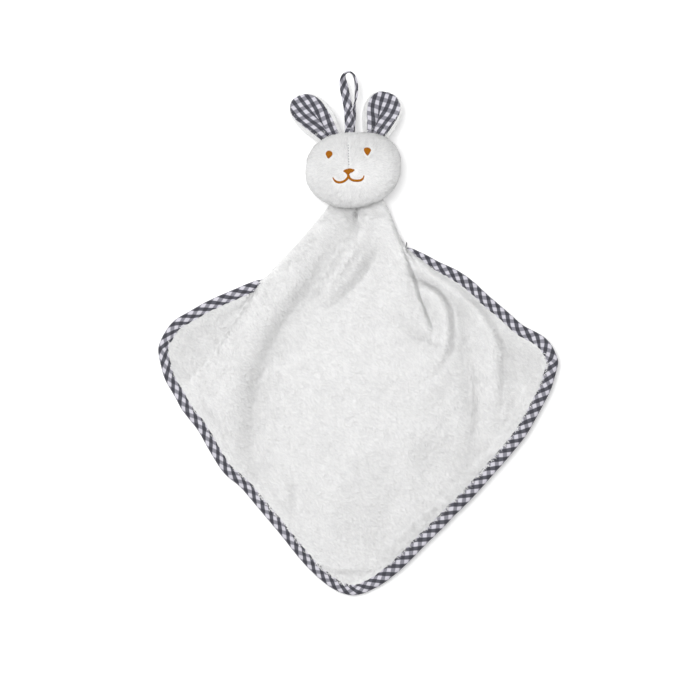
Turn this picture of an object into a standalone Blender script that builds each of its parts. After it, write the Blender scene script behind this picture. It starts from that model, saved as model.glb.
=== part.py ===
import math

import bmesh
import bpy
import numpy as np
from mathutils import Vector

# A rabbit comfort blanket that lies on its back. X runs across it, Y runs up to its head and Z
# stands on the table. The origin is under the flat part of the blanket, in line with the neck.
mm = 0.001

gap = 0.3 * mm
cut_overrun = 4 * mm

# The blanket: a 300 mm square cloth, one corner of which is gathered into the head
neck_to_origin = 280 * mm
cloth_half_width = 178.2 * mm
cloth_length = 348.3 * mm
cloth_thickness = 2.2 * mm
fold_height = 20 * mm
cloth_columns = 26
cloth_rows = 20
curve_steps = 6

# Each row follows one fold from just under the neck to the hem, and the rows go from the left bound
# edge to the right one. A point holds its place to the right as a share of the cloth's half width,
# its place below the neck as a share of the cloth's length, and its height as a share of the folds'.
fold_line_shares = (
    ((-0.149, 0.074, 0.30), (-0.290, 0.134, 0.10), (-0.472, 0.193, 0.02), (-0.629, 0.216, 0),
     (-0.806, 0.260, 0), (-0.987, 0.363, 0)),
    ((-0.220, 0.076, 0.32), (-0.361, 0.141, 0.22), (-0.482, 0.200, 0.36), (-0.639, 0.262, 0.02),
     (-0.810, 0.324, 0.01), (-0.985, 0.405, 0)),
    ((-0.255, 0.074, 0.62), (-0.386, 0.146, 0.54), (-0.500, 0.216, 0.60), (-0.659, 0.306, 0.36),
     (-0.800, 0.399, 0.20), (-0.952, 0.456, 0)),
    ((-0.210, 0.084, 0.92), (-0.326, 0.174, 0.90), (-0.462, 0.257, 0.76), (-0.598, 0.350, 0.54),
     (-0.715, 0.459, 0.28), (-0.780, 0.575, 0)),
    ((-0.139, 0.092, 0.72), (-0.220, 0.193, 0.50), (-0.341, 0.317, 0.26), (-0.472, 0.446, 0.06),
     (-0.523, 0.575, 0), (-0.578, 0.702, 0)),
    ((-0.114, 0.097, 0.88), (-0.220, 0.205, 0.62), (-0.300, 0.329, 0.36), (-0.361, 0.497, 0.16),
     (-0.391, 0.665, 0), (-0.386, 0.826, 0)),
    ((-0.063, 0.092, 0.84), (-0.149, 0.213, 0.66), (-0.205, 0.355, 0.34), (-0.255, 0.536, 0.10),
     (-0.270, 0.730, 0), (-0.225, 0.929, 0)),
    ((-0.018, 0.102, 0.98), (-0.093, 0.221, 0.74), (-0.129, 0.368, 0.36), (-0.129, 0.549, 0.10),
     (-0.114, 0.756, 0), (-0.038, 0.999, 0)),
    ((0.068, 0.092, 0.74), (-0.018, 0.218, 0.50), (-0.028, 0.368, 0.32), (-0.003, 0.549, 0.10),
     (0.033, 0.756, 0), (0.109, 0.975, 0)),
    ((0.149, 0.105, 0.94), (0.164, 0.239, 0.78), (0.154, 0.368, 0.46), (0.164, 0.536, 0.18),
     (0.200, 0.704, 0), (0.250, 0.908, 0)),
    ((0.210, 0.105, 0.84), (0.285, 0.218, 0.72), (0.356, 0.311, 0.50), (0.351, 0.472, 0.26),
     (0.376, 0.640, 0.10), (0.427, 0.823, 0)),
    ((0.236, 0.107, 0.68), (0.272, 0.224, 0.28), (0.376, 0.322, 0.22), (0.396, 0.459, 0.20),
     (0.422, 0.614, 0.08), (0.477, 0.787, 0)),
    ((0.242, 0.108, 0.54), (0.356, 0.216, 0.42), (0.472, 0.296, 0.46), (0.462, 0.420, 0.36),
     (0.472, 0.575, 0.18), (0.538, 0.748, 0)),
    ((0.243, 0.107, 0.42), (0.396, 0.210, 0.16), (0.538, 0.286, 0.12), (0.583, 0.420, 0.10),
     (0.593, 0.562, 0.06), (0.639, 0.678, 0)),
    ((0.243, 0.106, 0.30), (0.437, 0.198, 0.30), (0.598, 0.273, 0.40), (0.705, 0.378, 0.42),
     (0.745, 0.497, 0.26), (0.790, 0.575, 0)),
    ((0.242, 0.105, 0.18), (0.482, 0.187, 0.08), (0.649, 0.262, 0.10), (0.770, 0.337, 0.04),
     (0.881, 0.399, 0.02), (0.972, 0.464, 0)),
    ((0.240, 0.102, 0.05), (0.518, 0.172, 0.02), (0.679, 0.239, 0), (0.831, 0.301, 0),
     (0.947, 0.341, 0), (1.013, 0.399, 0)),
)

# Where each fold starts in the gathered corner: to the right as a share of the neck's half width,
# and up from its middle as a share of its radius
neck_width = 51.3 * mm
gather_radius = 7 * mm
gather_sides = 18
neck_shares = (
    (-0.40, -0.66), (-0.79, -0.50), (-1.00, -0.10), (-0.86, 0.28), (-0.61, 0.32), (-0.37, 0.38),
    (-0.05, 0.10), (0.23, 0.40), (0.54, 0.36), (0.74, 0.36), (0.90, 0.26), (1.00, 0.00),
    (0.97, -0.22), (0.88, -0.38), (0.76, -0.50), (0.60, -0.60), (0.42, -0.66),
)

# The bias tape folded round the edge, and the seam sewn along it
tape_thickness = 0.7 * mm
tape_ease = 1.0 * mm
binding_width = 8.5 * mm
edge_margin = 2.5 * mm
squeezed_share = 0.3
stitch_inset = 1.6 * mm
thread_thickness = 0.7 * mm

# The head: a stuffed pillow that is wider than it is tall, sewn from two face panels and a back
head_half_width = 43.4 * mm
head_half_height = 34.3 * mm
head_front_depth = 24 * mm
head_back_depth = 18.5 * mm
head_rest_flat = 0.5 * mm
head_side_shift = -1.8 * mm
plush_thickness = 2.5 * mm
crown_fullness = 2.6
chin_fullness = 2.15
head_sides = 40
head_rings = 20

# The face, embroidered on it: places are measured from the top of the nose
face_side_shift = -4.4 * mm
face_rise = 0.8 * mm
face_tilt_deg = 4.0
eye_spacing = 34.6 * mm
eye_rise = 14 * mm
eye_width = 5.9 * mm
eye_height = 7.4 * mm
eye_sides = 20
nose_width = 11.4 * mm
nose_height = 5.8 * mm
nose_corner_radius = 0.7 * mm
corner_steps = 4
mouth_drop = 8.6 * mm
mouth_half_width = 14.2 * mm
mouth_curve_depth = 4.1 * mm
mouth_stroke = 2 * mm
mouth_steps = 9
face_seam_length = 20 * mm
face_seam_rise = 1.2 * mm
face_seam_width = 0.9 * mm
closing_stitch_drop = 9.5 * mm
closing_stitch_width = 1 * mm

# The ears: plush backs with a gingham lining, each sewn into the crown on its base line
ear_angles_deg = {"left_ear": 122.5, "right_ear": 58.5}
ear_lengths = {"left_ear": 43.5 * mm, "right_ear": 41 * mm}
ear_lean_deg = {"left_ear": 14.0, "right_ear": -4.0}
ear_half_width = 16.8 * mm
ear_base_half_width = 11 * mm
ear_back_thickness = 2.2 * mm
ear_lining_thickness = 0.9 * mm
ear_border = 2.6 * mm
ear_cup_depth = 3 * mm
ear_pleat_depth = 1.6 * mm
ear_pleat_width = 3.4 * mm
ear_tip_drop = 8 * mm
ear_widest_share = 0.5
ear_rows = 12
ear_columns = 10

# The hanging loop: a gingham tape whose two ends are sewn into the crown, one over the other
loop_angle_deg = 94.5
loop_length = 53.7 * mm
loop_half_width = 7.2 * mm
loop_tape_width = 7.8 * mm
loop_tape_thickness = 1.1 * mm
loop_top_drop = 6 * mm
loop_steps = 4
bar_tack_length = 6 * mm
bar_tack_width = 1.6 * mm
bar_tack_rise = 2.4 * mm

# The middle of the tape from its upper end round to its lower end: to the right as a share of the
# loop's half width, out from the crown as a share of its length, then the tape's turn in degrees,
# where it lies flat at 0 and stands on its edge at 90
loop_route_shares = (
    ((-0.05, 0.00), 0), ((-0.08, 0.18), 0), ((-0.20, 0.40), 0), ((-0.46, 0.58), 4), ((-0.70, 0.74), 16),
    ((-0.72, 0.87), 52), ((-0.50, 0.955), 80), ((-0.02, 0.99), 90), ((0.48, 0.95), 94), ((0.80, 0.86), 97),
    ((0.92, 0.72), 98), ((0.82, 0.56), 102), ((0.55, 0.39), 128), ((0.22, 0.20), 166), ((0.08, 0.00), 180),
)

neck_y = neck_to_origin
seam_height = head_back_depth - head_rest_flat
head_middle = Vector((head_side_shift, neck_y + head_half_height, seam_height))
binding_fold = tape_thickness + tape_ease
binding_reach = binding_width - binding_fold
hem_lift = binding_fold + gap
edge_step = binding_reach + edge_margin

white_plush = (0.80, 0.80, 0.79)
white_filling = (0.88, 0.88, 0.86)
grey_gingham = (0.24, 0.24, 0.28)
grey_thread = (0.55, 0.55, 0.58)
brown_thread = (0.45, 0.16, 0.02)


def add_material(name, colour, roughness):
    material = bpy.data.materials.new(name)
    material.use_nodes = True
    shader = material.node_tree.nodes["Principled BSDF"]
    shader.inputs["Base Color"].default_value = (*colour, 1)
    shader.inputs["Roughness"].default_value = roughness
    shader.inputs["Metallic"].default_value = 0
    return material


def add_object(name, bm, material=None):
    mesh = bpy.data.meshes.new(name)
    bmesh.ops.recalc_face_normals(bm, faces=bm.faces)
    bm.to_mesh(mesh)
    bm.free()
    mesh.shade_smooth()
    part = bpy.data.objects.new(name, mesh)
    bpy.context.scene.collection.objects.link(part)
    if material:
        mesh.materials.append(material)
    else:
        part.hide_render = True
        part.display_type = "WIRE"
    return part


def add_pivot(name, place, turn=0, parent=None):
    pivot = bpy.data.objects.new(name, None)
    bpy.context.scene.collection.objects.link(pivot)
    pivot.parent = parent
    pivot.location = place
    pivot.rotation_euler.z = turn
    return pivot


def combine(part, operation, other):
    modifier = part.modifiers.new(other.name, "BOOLEAN")
    modifier.operation = operation
    modifier.solver = "EXACT"
    modifier.object = other


def thicken(part, thickness, squeezed=None):
    # Points for which squeezed is true get only a share of the thickness, as plush does in a seam
    modifier = part.modifiers.new("thickness", "SOLIDIFY")
    modifier.thickness = thickness
    modifier.offset = 0
    if squeezed is not None:
        loose = part.vertex_groups.new(name="loose")
        for index, tight in enumerate(squeezed):
            loose.add([index], squeezed_share if tight else 1, "REPLACE")
        modifier.vertex_group = loose.name


def smooth_line(points, steps):
    # A Catmull-Rom curve through the points, with this many steps from one to the next
    points = np.asarray(points, float)
    padded = np.concatenate([[2 * points[0] - points[1]], points, [2 * points[-1] - points[-2]]])
    line = []
    for start in range(len(points) - 1):
        a, b, c, d = padded[start:start + 4]
        for step in range(steps):
            t = step / steps
            line.append(b + (c - a) * t / 2 + (a - 2.5 * b + 2 * c - d / 2) * t**2
                        + (1.5 * (b - c) + (d - a) / 2) * t**3)
    return np.array(line + [points[-1]])


def spaced_line(line, count, first_step=None, last_step=None):
    # Points at even distances along a line, apart from a first and a last step of a given length
    walked = np.concatenate([[0], np.cumsum(np.linalg.norm(np.diff(line, axis=0), axis=1))])
    start = first_step or walked[-1] / count
    end = walked[-1] - (last_step or walked[-1] / count)
    stops = np.concatenate([[0], np.linspace(start, end, count - 1), [walked[-1]]])
    return np.stack([np.interp(stops, walked, line[:, axis]) for axis in range(3)], axis=1)


def add_grid_faces(bm, rows):
    for above, below in zip(rows, rows[1:]):
        for left in range(len(above) - 1):
            bm.faces.new((above[left], above[left + 1], below[left + 1], below[left]))


def tube_mesh(rings):
    # A solid whose cross-sections are these rings of points
    bm = bmesh.new()
    verts = [[bm.verts.new(point) for point in ring] for ring in rings]
    for ring, following in zip(verts, verts[1:]):
        for index in range(len(ring)):
            after = (index + 1) % len(ring)
            bm.faces.new((ring[index], ring[after], following[after], following[index]))
    bm.faces.new(verts[0][::-1])
    bm.faces.new(verts[-1])
    return bm


def prism_mesh(outline, low, high):
    return tube_mesh([[(x, y, z) for x, y in outline] for z in (low, high)])


def box_mesh(low, high):
    outline = ((low[0], low[1]), (high[0], low[1]), (high[0], high[1]), (low[0], high[1]))
    return prism_mesh(outline, low[2], high[2])


def cloth_rows_of_points():
    neck = np.array([(side * neck_width / 2, neck_y, seam_height + up * gather_radius)
                     for side, up in neck_shares])
    shares = np.array(fold_line_shares)
    folds = np.empty_like(shares)
    folds[:, :, 0] = shares[:, :, 0] * cloth_half_width
    folds[:, :, 1] = neck_y - shares[:, :, 1] * cloth_length
    folds[:, :, 2] = shares[:, :, 2] * fold_height + cloth_thickness / 2
    lines = [smooth_line([start, *fold], curve_steps) for start, fold in zip(neck, folds)]
    across = np.array([smooth_line(row, curve_steps) for row in np.swapaxes(lines, 0, 1)])
    down = [spaced_line(across[:, column], cloth_rows, last_step=edge_step)
            for column in range(across.shape[1])]
    rows = np.array([spaced_line(row, cloth_columns, edge_step, edge_step)
                     for row in np.swapaxes(down, 0, 1)])
    rows[-2, :, 2] = rows[-1, :, 2]
    rows[:, :, 2] = np.maximum(rows[:, :, 2], cloth_thickness / 2)
    edge = np.zeros(rows.shape[:2])
    edge[-2:, :] = 1
    edge[1:, :2] = 1
    edge[1:, -2:] = 1
    rows[:, :, 2] += edge * hem_lift
    return rows


def bound_edge(rows):
    # Each point of the cloth's bound edge, with its direction into the cloth and its normal
    last_row = len(rows) - 1
    last_column = len(rows[0]) - 1
    left = [((row, 0), (row, 1)) for row in range(1, last_row)]
    hem = [((last_row, column), (last_row - 1, min(max(column, 1), last_column - 1)))
           for column in range(last_column + 1)]
    right = [((row, last_column), (row, last_column - 1)) for row in range(last_row - 1, 0, -1)]
    pairs = left + hem + right
    places = [Vector(rows[edge]) for edge, _ in pairs]
    stations = []
    for index, (edge, inner) in enumerate(pairs):
        along = places[min(index + 1, len(places) - 1)] - places[max(index - 1, 0)]
        inward = (Vector(rows[inner]) - places[index]).normalized()
        normal = along.cross(inward).normalized()
        stations.append((places[index], inward, normal))
    return stations


def add_blanket(rows, plush, gingham, thread):
    bm = bmesh.new()
    add_grid_faces(bm, [[bm.verts.new(point) for point in row] for row in rows])
    cloth = add_object("blanket_cloth", bm, plush)
    bound = np.zeros(rows.shape[:2], bool)
    bound[1:, [0, -1]] = True
    bound[-1] = True
    thicken(cloth, cloth_thickness, bound.flat)

    ends = [[(end * neck_width / 2,
              neck_y + gather_radius * math.cos(math.tau * side / gather_sides),
              seam_height + gather_radius * math.sin(math.tau * side / gather_sides))
             for side in range(gather_sides)] for end in (-1, 1)]
    gather = add_object("gathered_corner", tube_mesh(ends))
    combine(cloth, "UNION", gather)
    cloth.modifiers[gather.name].use_self = True

    stations = bound_edge(rows)
    inner = cloth_thickness / 2 + tape_ease
    outer = inner + tape_thickness
    channel = ((binding_reach, inner), (-tape_ease, inner), (-tape_ease, -inner), (binding_reach, -inner),
               (binding_reach, -outer), (-binding_fold, -outer), (-binding_fold, outer), (binding_reach, outer))
    rings = [[place + inward * reach + normal * up for reach, up in channel]
             for place, inward, normal in stations]
    add_object("edge_binding", tube_mesh(rings), gingham)

    low = outer + gap
    near = binding_reach - stitch_inset
    seam = ((near, low), (near - thread_thickness, low), (near - thread_thickness, low + thread_thickness),
            (near, low + thread_thickness))
    rings = [[place + inward * reach + normal * up for reach, up in seam]
             for place, inward, normal in stations]
    add_object("binding_stitching", tube_mesh(rings), thread)


def head_outline(angle):
    # How far the head's outline is from its middle, against an ellipse's
    fullness = crown_fullness if math.sin(angle) > 0 else chin_fullness
    return (abs(math.cos(angle))**fullness + abs(math.sin(angle))**fullness)**(-1 / fullness)


def head_edge(angle):
    reach = head_outline(angle)
    return Vector((head_half_width * reach * math.cos(angle), head_half_height * reach * math.sin(angle), 0))


def head_tangent(angle, step=0.01):
    return (head_edge(angle - step) - head_edge(angle + step)).normalized()


def pillow_mesh(inset):
    # The head's shape, drawn in from its surface by the inset
    bm = bmesh.new()
    bmesh.ops.create_uvsphere(bm, u_segments=head_sides, v_segments=head_rings, radius=1)
    for vert in bm.verts:
        reach = head_outline(math.atan2(vert.co.y, vert.co.x))
        depth = head_front_depth if vert.co.z > 0 else head_back_depth
        vert.co = Vector((vert.co.x * reach * (head_half_width - inset),
                          vert.co.y * reach * (head_half_height - inset),
                          max(vert.co.z * (depth - inset), inset - seam_height)))
    return bm


def face_point(right, up):
    tilt = math.radians(face_tilt_deg)
    return (face_side_shift + right * math.cos(tilt) - up * math.sin(tilt),
            face_rise + right * math.sin(tilt) + up * math.cos(tilt))


def add_head(pivot, plush, filling, brown, grey):
    middle = head_middle - Vector((0, neck_y, seam_height))

    def place(part):
        part.parent = pivot
        part.location = middle
        return part

    skin_back = place(add_object("skin_back", pillow_mesh(plush_thickness)))
    reach = (head_half_width + cut_overrun, head_half_height + cut_overrun, head_front_depth + cut_overrun)
    recess_radius = gather_radius + gap
    recess_half = neck_width / 2 + gap
    ends = [[(end * recess_half, recess_radius * math.cos(math.tau * side / gather_sides),
              recess_radius * math.sin(math.tau * side / gather_sides))
             for side in range(gather_sides)] for end in (-1, 1)]
    neck_opening = add_object("neck_opening", tube_mesh(ends))
    neck_opening.parent = pivot

    top = face_point(0, reach[1])
    bottom = face_point(0, -reach[1])
    halves = {
        "face_left_panel": [(top[0] - gap / 2, top[1]), (bottom[0] - gap / 2, bottom[1]),
                            (-reach[0], -reach[1]), (-reach[0], reach[1])],
        "face_right_panel": [(top[0] + gap / 2, top[1]), (reach[0], reach[1]),
                             (reach[0], -reach[1]), (bottom[0] + gap / 2, bottom[1])],
        "head_back_panel": [(-reach[0], -reach[1]), (reach[0], -reach[1]), (reach[0], reach[1]),
                            (-reach[0], reach[1])],
    }
    for name, outline in halves.items():
        panel = place(add_object(name, pillow_mesh(0), plush))
        heights = (-reach[2], -gap / 2) if name == "head_back_panel" else (gap / 2, reach[2])
        side = place(add_object(name + "_side", prism_mesh(outline, *heights)))
        combine(panel, "DIFFERENCE", skin_back)
        combine(panel, "INTERSECT", side)
        combine(panel, "DIFFERENCE", neck_opening)

    stuffing = place(add_object("head_filling", pillow_mesh(plush_thickness + gap), filling))
    combine(stuffing, "DIFFERENCE", neck_opening)

    thread_back = place(add_object("thread_back", pillow_mesh(-gap)))
    thread_front = place(add_object("thread_front", pillow_mesh(-gap - thread_thickness)))

    def embroider(name, outline, material, low=head_front_depth / 2, high=reach[2]):
        patch = place(add_object(name, prism_mesh(outline, low, high), material))
        combine(patch, "INTERSECT", thread_front)
        combine(patch, "DIFFERENCE", thread_back)

    for name, side in (("left_eye", -1), ("right_eye", 1)):
        outline = []
        for index in range(eye_sides):
            turn = math.tau * index / eye_sides
            outline.append(face_point(side * eye_spacing / 2 + eye_width / 2 * math.cos(turn),
                                      eye_rise + eye_height / 2 * math.sin(turn)))
        embroider(name, outline, brown)
    embroider("nose", nose_outline(), brown)
    embroider("mouth", mouth_outline(), brown)

    seam_low = face_seam_rise
    half = face_seam_width / 2
    corners = ((-half, seam_low), (half, seam_low), (half, seam_low + face_seam_length),
               (-half, seam_low + face_seam_length))
    embroider("face_seam_thread", [face_point(*corner) for corner in corners], grey)

    closing_y = -head_half_height - cut_overrun
    half = neck_width / 2
    outline = ((-half, closing_y), (half, closing_y), (half, 0), (-half, 0))
    embroider("neck_closing_stitch", outline, grey,
              -closing_stitch_drop - closing_stitch_width, -closing_stitch_drop)


def nose_outline():
    # A triangle that points down, with its corners rounded
    half = nose_width / 2
    corners = [Vector(corner) for corner in ((-half, 0), (0, -nose_height), (half, 0))]
    outline = []
    for index, corner in enumerate(corners):
        before = (corners[index - 1] - corner).normalized()
        after = (corners[(index + 1) % len(corners)] - corner).normalized()
        half_angle = before.angle(after) / 2
        centre = corner + (before + after).normalized() * nose_corner_radius / math.sin(half_angle)
        start = (corner + before * nose_corner_radius / math.tan(half_angle) - centre).normalized()
        end = (corner + after * nose_corner_radius / math.tan(half_angle) - centre).normalized()
        for step in range(corner_steps + 1):
            spoke = start.slerp(end, step / corner_steps) * nose_corner_radius
            outline.append(face_point(*(centre + spoke)))
    return outline


def mouth_outline():
    # Two hanging curves that meet under the nose, with a stem up to it
    half = mouth_stroke / 2
    span = mouth_half_width / 2
    stem_top = -nose_height - gap
    turns = [math.pi * step / mouth_steps for step in range(mouth_steps + 1)]

    def curve(side, offset):
        points = [(side * (span + (span - offset) * math.cos(turn)),
                   -mouth_drop - (mouth_curve_depth - offset) * math.sin(turn)) for turn in turns]
        return points if side < 0 else points[::-1]

    upper = curve(-1, half)[:-1] + [(-half, -mouth_drop), (-half, stem_top), (half, stem_top),
                                    (half, -mouth_drop)] + curve(1, half)[1:]
    lower = curve(-1, -half)[:-2] + [(0, -mouth_drop - mouth_stroke)] + curve(1, -half)[2:]
    return [face_point(*point) for point in upper + lower[::-1]]


def ear_surface(length, half_width, base_half_width, lean, border=0, lift=0, root=0):
    # The middle surface of an ear's layer, drawn in by the border and raised by the lift. A root
    # goes on below the base line, into the seam of the crown.
    def height(x, y):
        along = max(y, 0) / length
        cup = ear_cup_depth * (x / half_width)**2
        pleat = ear_pleat_depth * math.exp(-(x / ear_pleat_width)**2) * max(1 - along, 0)
        return (cup - pleat) * min(along / ear_widest_share, 1) - ear_tip_drop * along**2

    rows = []
    for row in range(ear_rows + 1):
        along = math.sin(math.pi / 2 * row / ear_rows)
        y = border + (length - 2 * border) * along
        if along < ear_widest_share:
            swell = math.sin(math.pi / 2 * along / ear_widest_share)
            half = base_half_width + (half_width - base_half_width) * swell - border
        else:
            share = (along - ear_widest_share) / (1 - ear_widest_share)
            half = (half_width - border) * math.sqrt(max(1 - share**2.4, 0))
        columns = 1 if row == ear_rows else ear_columns + 1
        points = []
        for column in range(columns):
            x = 0 if columns == 1 else half * (2 * column / ear_columns - 1)
            points.append((x, y))
        rows.append(points)
    if root:
        rows.insert(0, [(x, -root) for x, _ in rows[0]])

    step = gap
    surface = []
    for row in rows:
        line = []
        for x, y in row:
            slope_x = (height(x + step, y) - height(x - step, y)) / (2 * step)
            slope_y = (height(x, y + step) - height(x, y - step)) / (2 * step)
            normal = Vector((-slope_x, -slope_y, 1)).normalized()
            leaned = Vector((x + y * math.tan(lean), y, height(x, y)))
            line.append(leaned + normal * lift)
        surface.append(line)
    return surface


def add_ear_layer(name, surface, thickness, pivot, material, squeezed=None):
    bm = bmesh.new()
    verts = [[bm.verts.new(point) for point in row] for row in surface]
    add_grid_faces(bm, verts[:-1])
    tip = verts[-1][0]
    last = verts[-2]
    for column in range(len(last) - 1):
        bm.faces.new((last[column], last[column + 1], tip))
    layer = add_object(name, bm, material)
    thicken(layer, thickness, squeezed)
    layer.parent = pivot


def add_ears(head_pivot, plush, gingham):
    root = ear_back_thickness / 2
    lining_lift = (ear_back_thickness + ear_lining_thickness) / 2 + gap
    for name, angle_deg in ear_angles_deg.items():
        angle = math.radians(angle_deg)
        tangent = head_tangent(angle)
        outward = Vector((-tangent.y, tangent.x, 0))
        place = head_middle + head_edge(angle) + outward * (root + gap) - Vector((0, neck_y, seam_height))
        pivot = add_pivot(name + "_pivot", place, math.atan2(tangent.y, tangent.x), head_pivot)
        sizes = (ear_lengths[name], ear_half_width, ear_base_half_width, -math.radians(ear_lean_deg[name]))
        back = ear_surface(*sizes, root=root)
        in_seam = [row == 0 for row, line in enumerate(back) for _ in line]
        add_ear_layer(name + "_back", back, ear_back_thickness, pivot, plush, in_seam)
        lining = ear_surface(*sizes, border=ear_border, lift=lining_lift)
        add_ear_layer(name + "_lining", lining, ear_lining_thickness, pivot, gingham)


def add_loop(head_pivot, gingham, thread):
    angle = math.radians(loop_angle_deg)
    tangent = head_tangent(angle)
    outward = Vector((-tangent.y, tangent.x, 0))
    root = loop_tape_thickness + gap / 2
    place = head_middle + head_edge(angle) + outward * (root + gap) - Vector((0, neck_y, seam_height))
    pivot = add_pivot("loop_pivot", place, math.atan2(tangent.y, tangent.x), head_pivot)

    route = []
    strand_rise = (loop_tape_thickness + gap) / 2
    for index, ((right, out), turn) in enumerate(loop_route_shares):
        side = 1 - 2 * index / (len(loop_route_shares) - 1)
        route.append((right * loop_half_width, out * loop_length,
                      side * strand_rise - out**2 * loop_top_drop, math.radians(turn)))
    line = smooth_line(route, loop_steps)
    # Both ends go on into the seam of the crown, where they are squeezed
    squeezed_rise = (loop_tape_thickness * squeezed_share + gap) / 2
    ends = [(line[end][0], -root, side * squeezed_rise, line[end][3]) for end, side in ((0, 1), (-1, -1))]
    line = [ends[0], *line, ends[1]]
    rings = []
    for index, (*middle, turn) in enumerate(line):
        in_seam = index in (0, len(line) - 1)
        ahead = Vector(line[min(index + 1, len(line) - 1)][:3])
        along = (ahead - Vector(line[max(index - 1, 0)][:3])).normalized()
        flat = Vector((0, 0, 1)).cross(along).normalized()
        wide = flat * math.cos(turn) + along.cross(flat) * math.sin(turn)
        across = wide * loop_tape_width / 2
        through = along.cross(wide) * loop_tape_thickness / 2 * (squeezed_share if in_seam else 1)
        rings.append([Vector(middle) + across * a + through * b for a, b in ((1, 1), (1, -1), (-1, -1), (-1, 1))])
    add_object("hanging_loop", tube_mesh(rings), gingham).parent = pivot

    half = bar_tack_length / 2
    low = strand_rise + loop_tape_thickness / 2 + gap
    tack = box_mesh((-half, bar_tack_rise, low), (half, bar_tack_rise + bar_tack_width, low + thread_thickness))
    add_object("loop_bar_tack", tack, thread).parent = pivot


def main():
    for part in list(bpy.data.objects):
        bpy.data.objects.remove(part)
    plush = add_material("white_plush", white_plush, 0.95)
    filling = add_material("white_filling", white_filling, 1)
    gingham = add_material("grey_gingham", grey_gingham, 0.85)
    grey = add_material("grey_thread", grey_thread, 0.6)
    brown = add_material("brown_thread", brown_thread, 0.45)

    add_blanket(cloth_rows_of_points(), plush, gingham, grey)
    head_pivot = add_pivot("neck_pivot", (0, neck_y, seam_height))
    add_head(head_pivot, plush, filling, brown, grey)
    add_ears(head_pivot, plush, gingham)
    add_loop(head_pivot, gingham, grey)


main()
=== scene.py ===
import math

import bmesh
import bpy
import numpy as np
from mathutils import Matrix, Vector, noise


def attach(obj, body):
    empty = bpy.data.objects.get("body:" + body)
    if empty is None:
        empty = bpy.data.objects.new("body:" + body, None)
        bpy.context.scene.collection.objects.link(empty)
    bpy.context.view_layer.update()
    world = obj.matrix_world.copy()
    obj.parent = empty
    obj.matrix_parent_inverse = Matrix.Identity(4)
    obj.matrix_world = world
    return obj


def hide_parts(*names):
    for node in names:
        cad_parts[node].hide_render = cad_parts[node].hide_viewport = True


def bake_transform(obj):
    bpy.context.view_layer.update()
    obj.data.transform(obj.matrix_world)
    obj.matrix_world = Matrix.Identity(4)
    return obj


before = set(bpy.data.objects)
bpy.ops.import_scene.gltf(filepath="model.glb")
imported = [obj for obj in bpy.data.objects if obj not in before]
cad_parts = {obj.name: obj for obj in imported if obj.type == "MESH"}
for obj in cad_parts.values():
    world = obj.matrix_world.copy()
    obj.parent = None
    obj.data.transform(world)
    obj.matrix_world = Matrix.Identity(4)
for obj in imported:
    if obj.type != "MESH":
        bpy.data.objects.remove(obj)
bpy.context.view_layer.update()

# A rabbit comfort blanket on its back, seen from straight above. X runs across it, Y up to its head
# and Z out of the table. Lengths are in metres, and mm turns millimetres into them.
mm = 0.001
scene = bpy.context.scene


def hexToLinear(code):
    channels = [int(code[start:start + 2], 16) / 255 for start in (1, 3, 5)]
    return [c / 12.92 if c <= 0.04045 else ((c + 0.055) / 1.055)**2.4 for c in channels] + [1]


def addNode(tree, kind, inputs=None, **settings):
    # Inputs maps a socket's name or number to another node's output or to a value
    node = tree.nodes.new("ShaderNode" + kind)
    for setting, value in settings.items():
        setattr(node, setting, value)
    for key, value in (inputs or {}).items():
        if isinstance(value, bpy.types.NodeSocket):
            tree.links.new(value, node.inputs[key])
        else:
            node.inputs[key].default_value = value
    return node


view = {
    "lens": 420,
    "height": 7.35,              # at which the picture is 630 mm wide
    "middle": (-4.95 * mm, 151.8 * mm),
    "worldStrength": 0.54,
    "keyPower": 38,
    "keySize": 1.2,
    "keyPlace": (-0.6, 0.7, 2.25),
    "tableColour": "#F4F4F4",
    "tableGlow": 0.3,
}


def directRays(tree):
    # 1 for what the camera sees straight or in a reflection, and 0 for the light that falls on a surface
    path = addNode(tree, "LightPath")
    return addNode(tree, "Math", {0: path.outputs["Is Camera Ray"], 1: path.outputs["Is Glossy Ray"]},
                   operation="MAXIMUM").outputs[0]


camera = bpy.data.objects.new("camera", bpy.data.cameras.new("camera"))
camera.data.lens = view["lens"]
camera.location = (*view["middle"], view["height"])
scene.collection.objects.link(camera)
scene.camera = camera
scene.view_settings.view_transform = "Standard"

world = bpy.data.worlds.new("studio")
scene.world = world
world.use_nodes = True
world.node_tree.nodes.clear()
strength = addNode(world.node_tree, "MapRange", {
    "Value": directRays(world.node_tree), "To Min": view["worldStrength"], "To Max": 1.0})
sky = addNode(world.node_tree, "Background", {"Color": (1, 1, 1, 1), "Strength": strength.outputs[0]})
addNode(world.node_tree, "OutputWorld", {"Surface": sky.outputs[0]})

keyLight = bpy.data.lights.new("window", "AREA")
keyLight.energy = view["keyPower"]
keyLight.size = view["keySize"]
key = bpy.data.objects.new("window", keyLight)
key.location = view["keyPlace"]
aim = Vector((0, 0.15, 0)) - key.location
key.rotation_euler = aim.to_track_quat("-Z", "Y").to_euler()
scene.collection.objects.link(key)


def makeTableTop():
    # Matt white laminate. A camera ray sees it a little brighter, so that it is white where no shadow
    # falls.
    material = bpy.data.materials.new("mattLaminate")
    material.use_nodes = True
    tree = material.node_tree
    tree.nodes.clear()
    glow = addNode(tree, "Math", {0: directRays(tree), 1: view["tableGlow"]}, operation="MULTIPLY")
    diffuse = addNode(tree, "BsdfDiffuse", {"Color": hexToLinear(view["tableColour"])})
    emission = addNode(tree, "Emission", {"Color": (1, 1, 1, 1), "Strength": glow.outputs[0]})
    both = addNode(tree, "AddShader", {0: diffuse.outputs[0], 1: emission.outputs[0]})
    addNode(tree, "OutputMaterial", {"Surface": both.outputs[0]})
    return material


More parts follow.
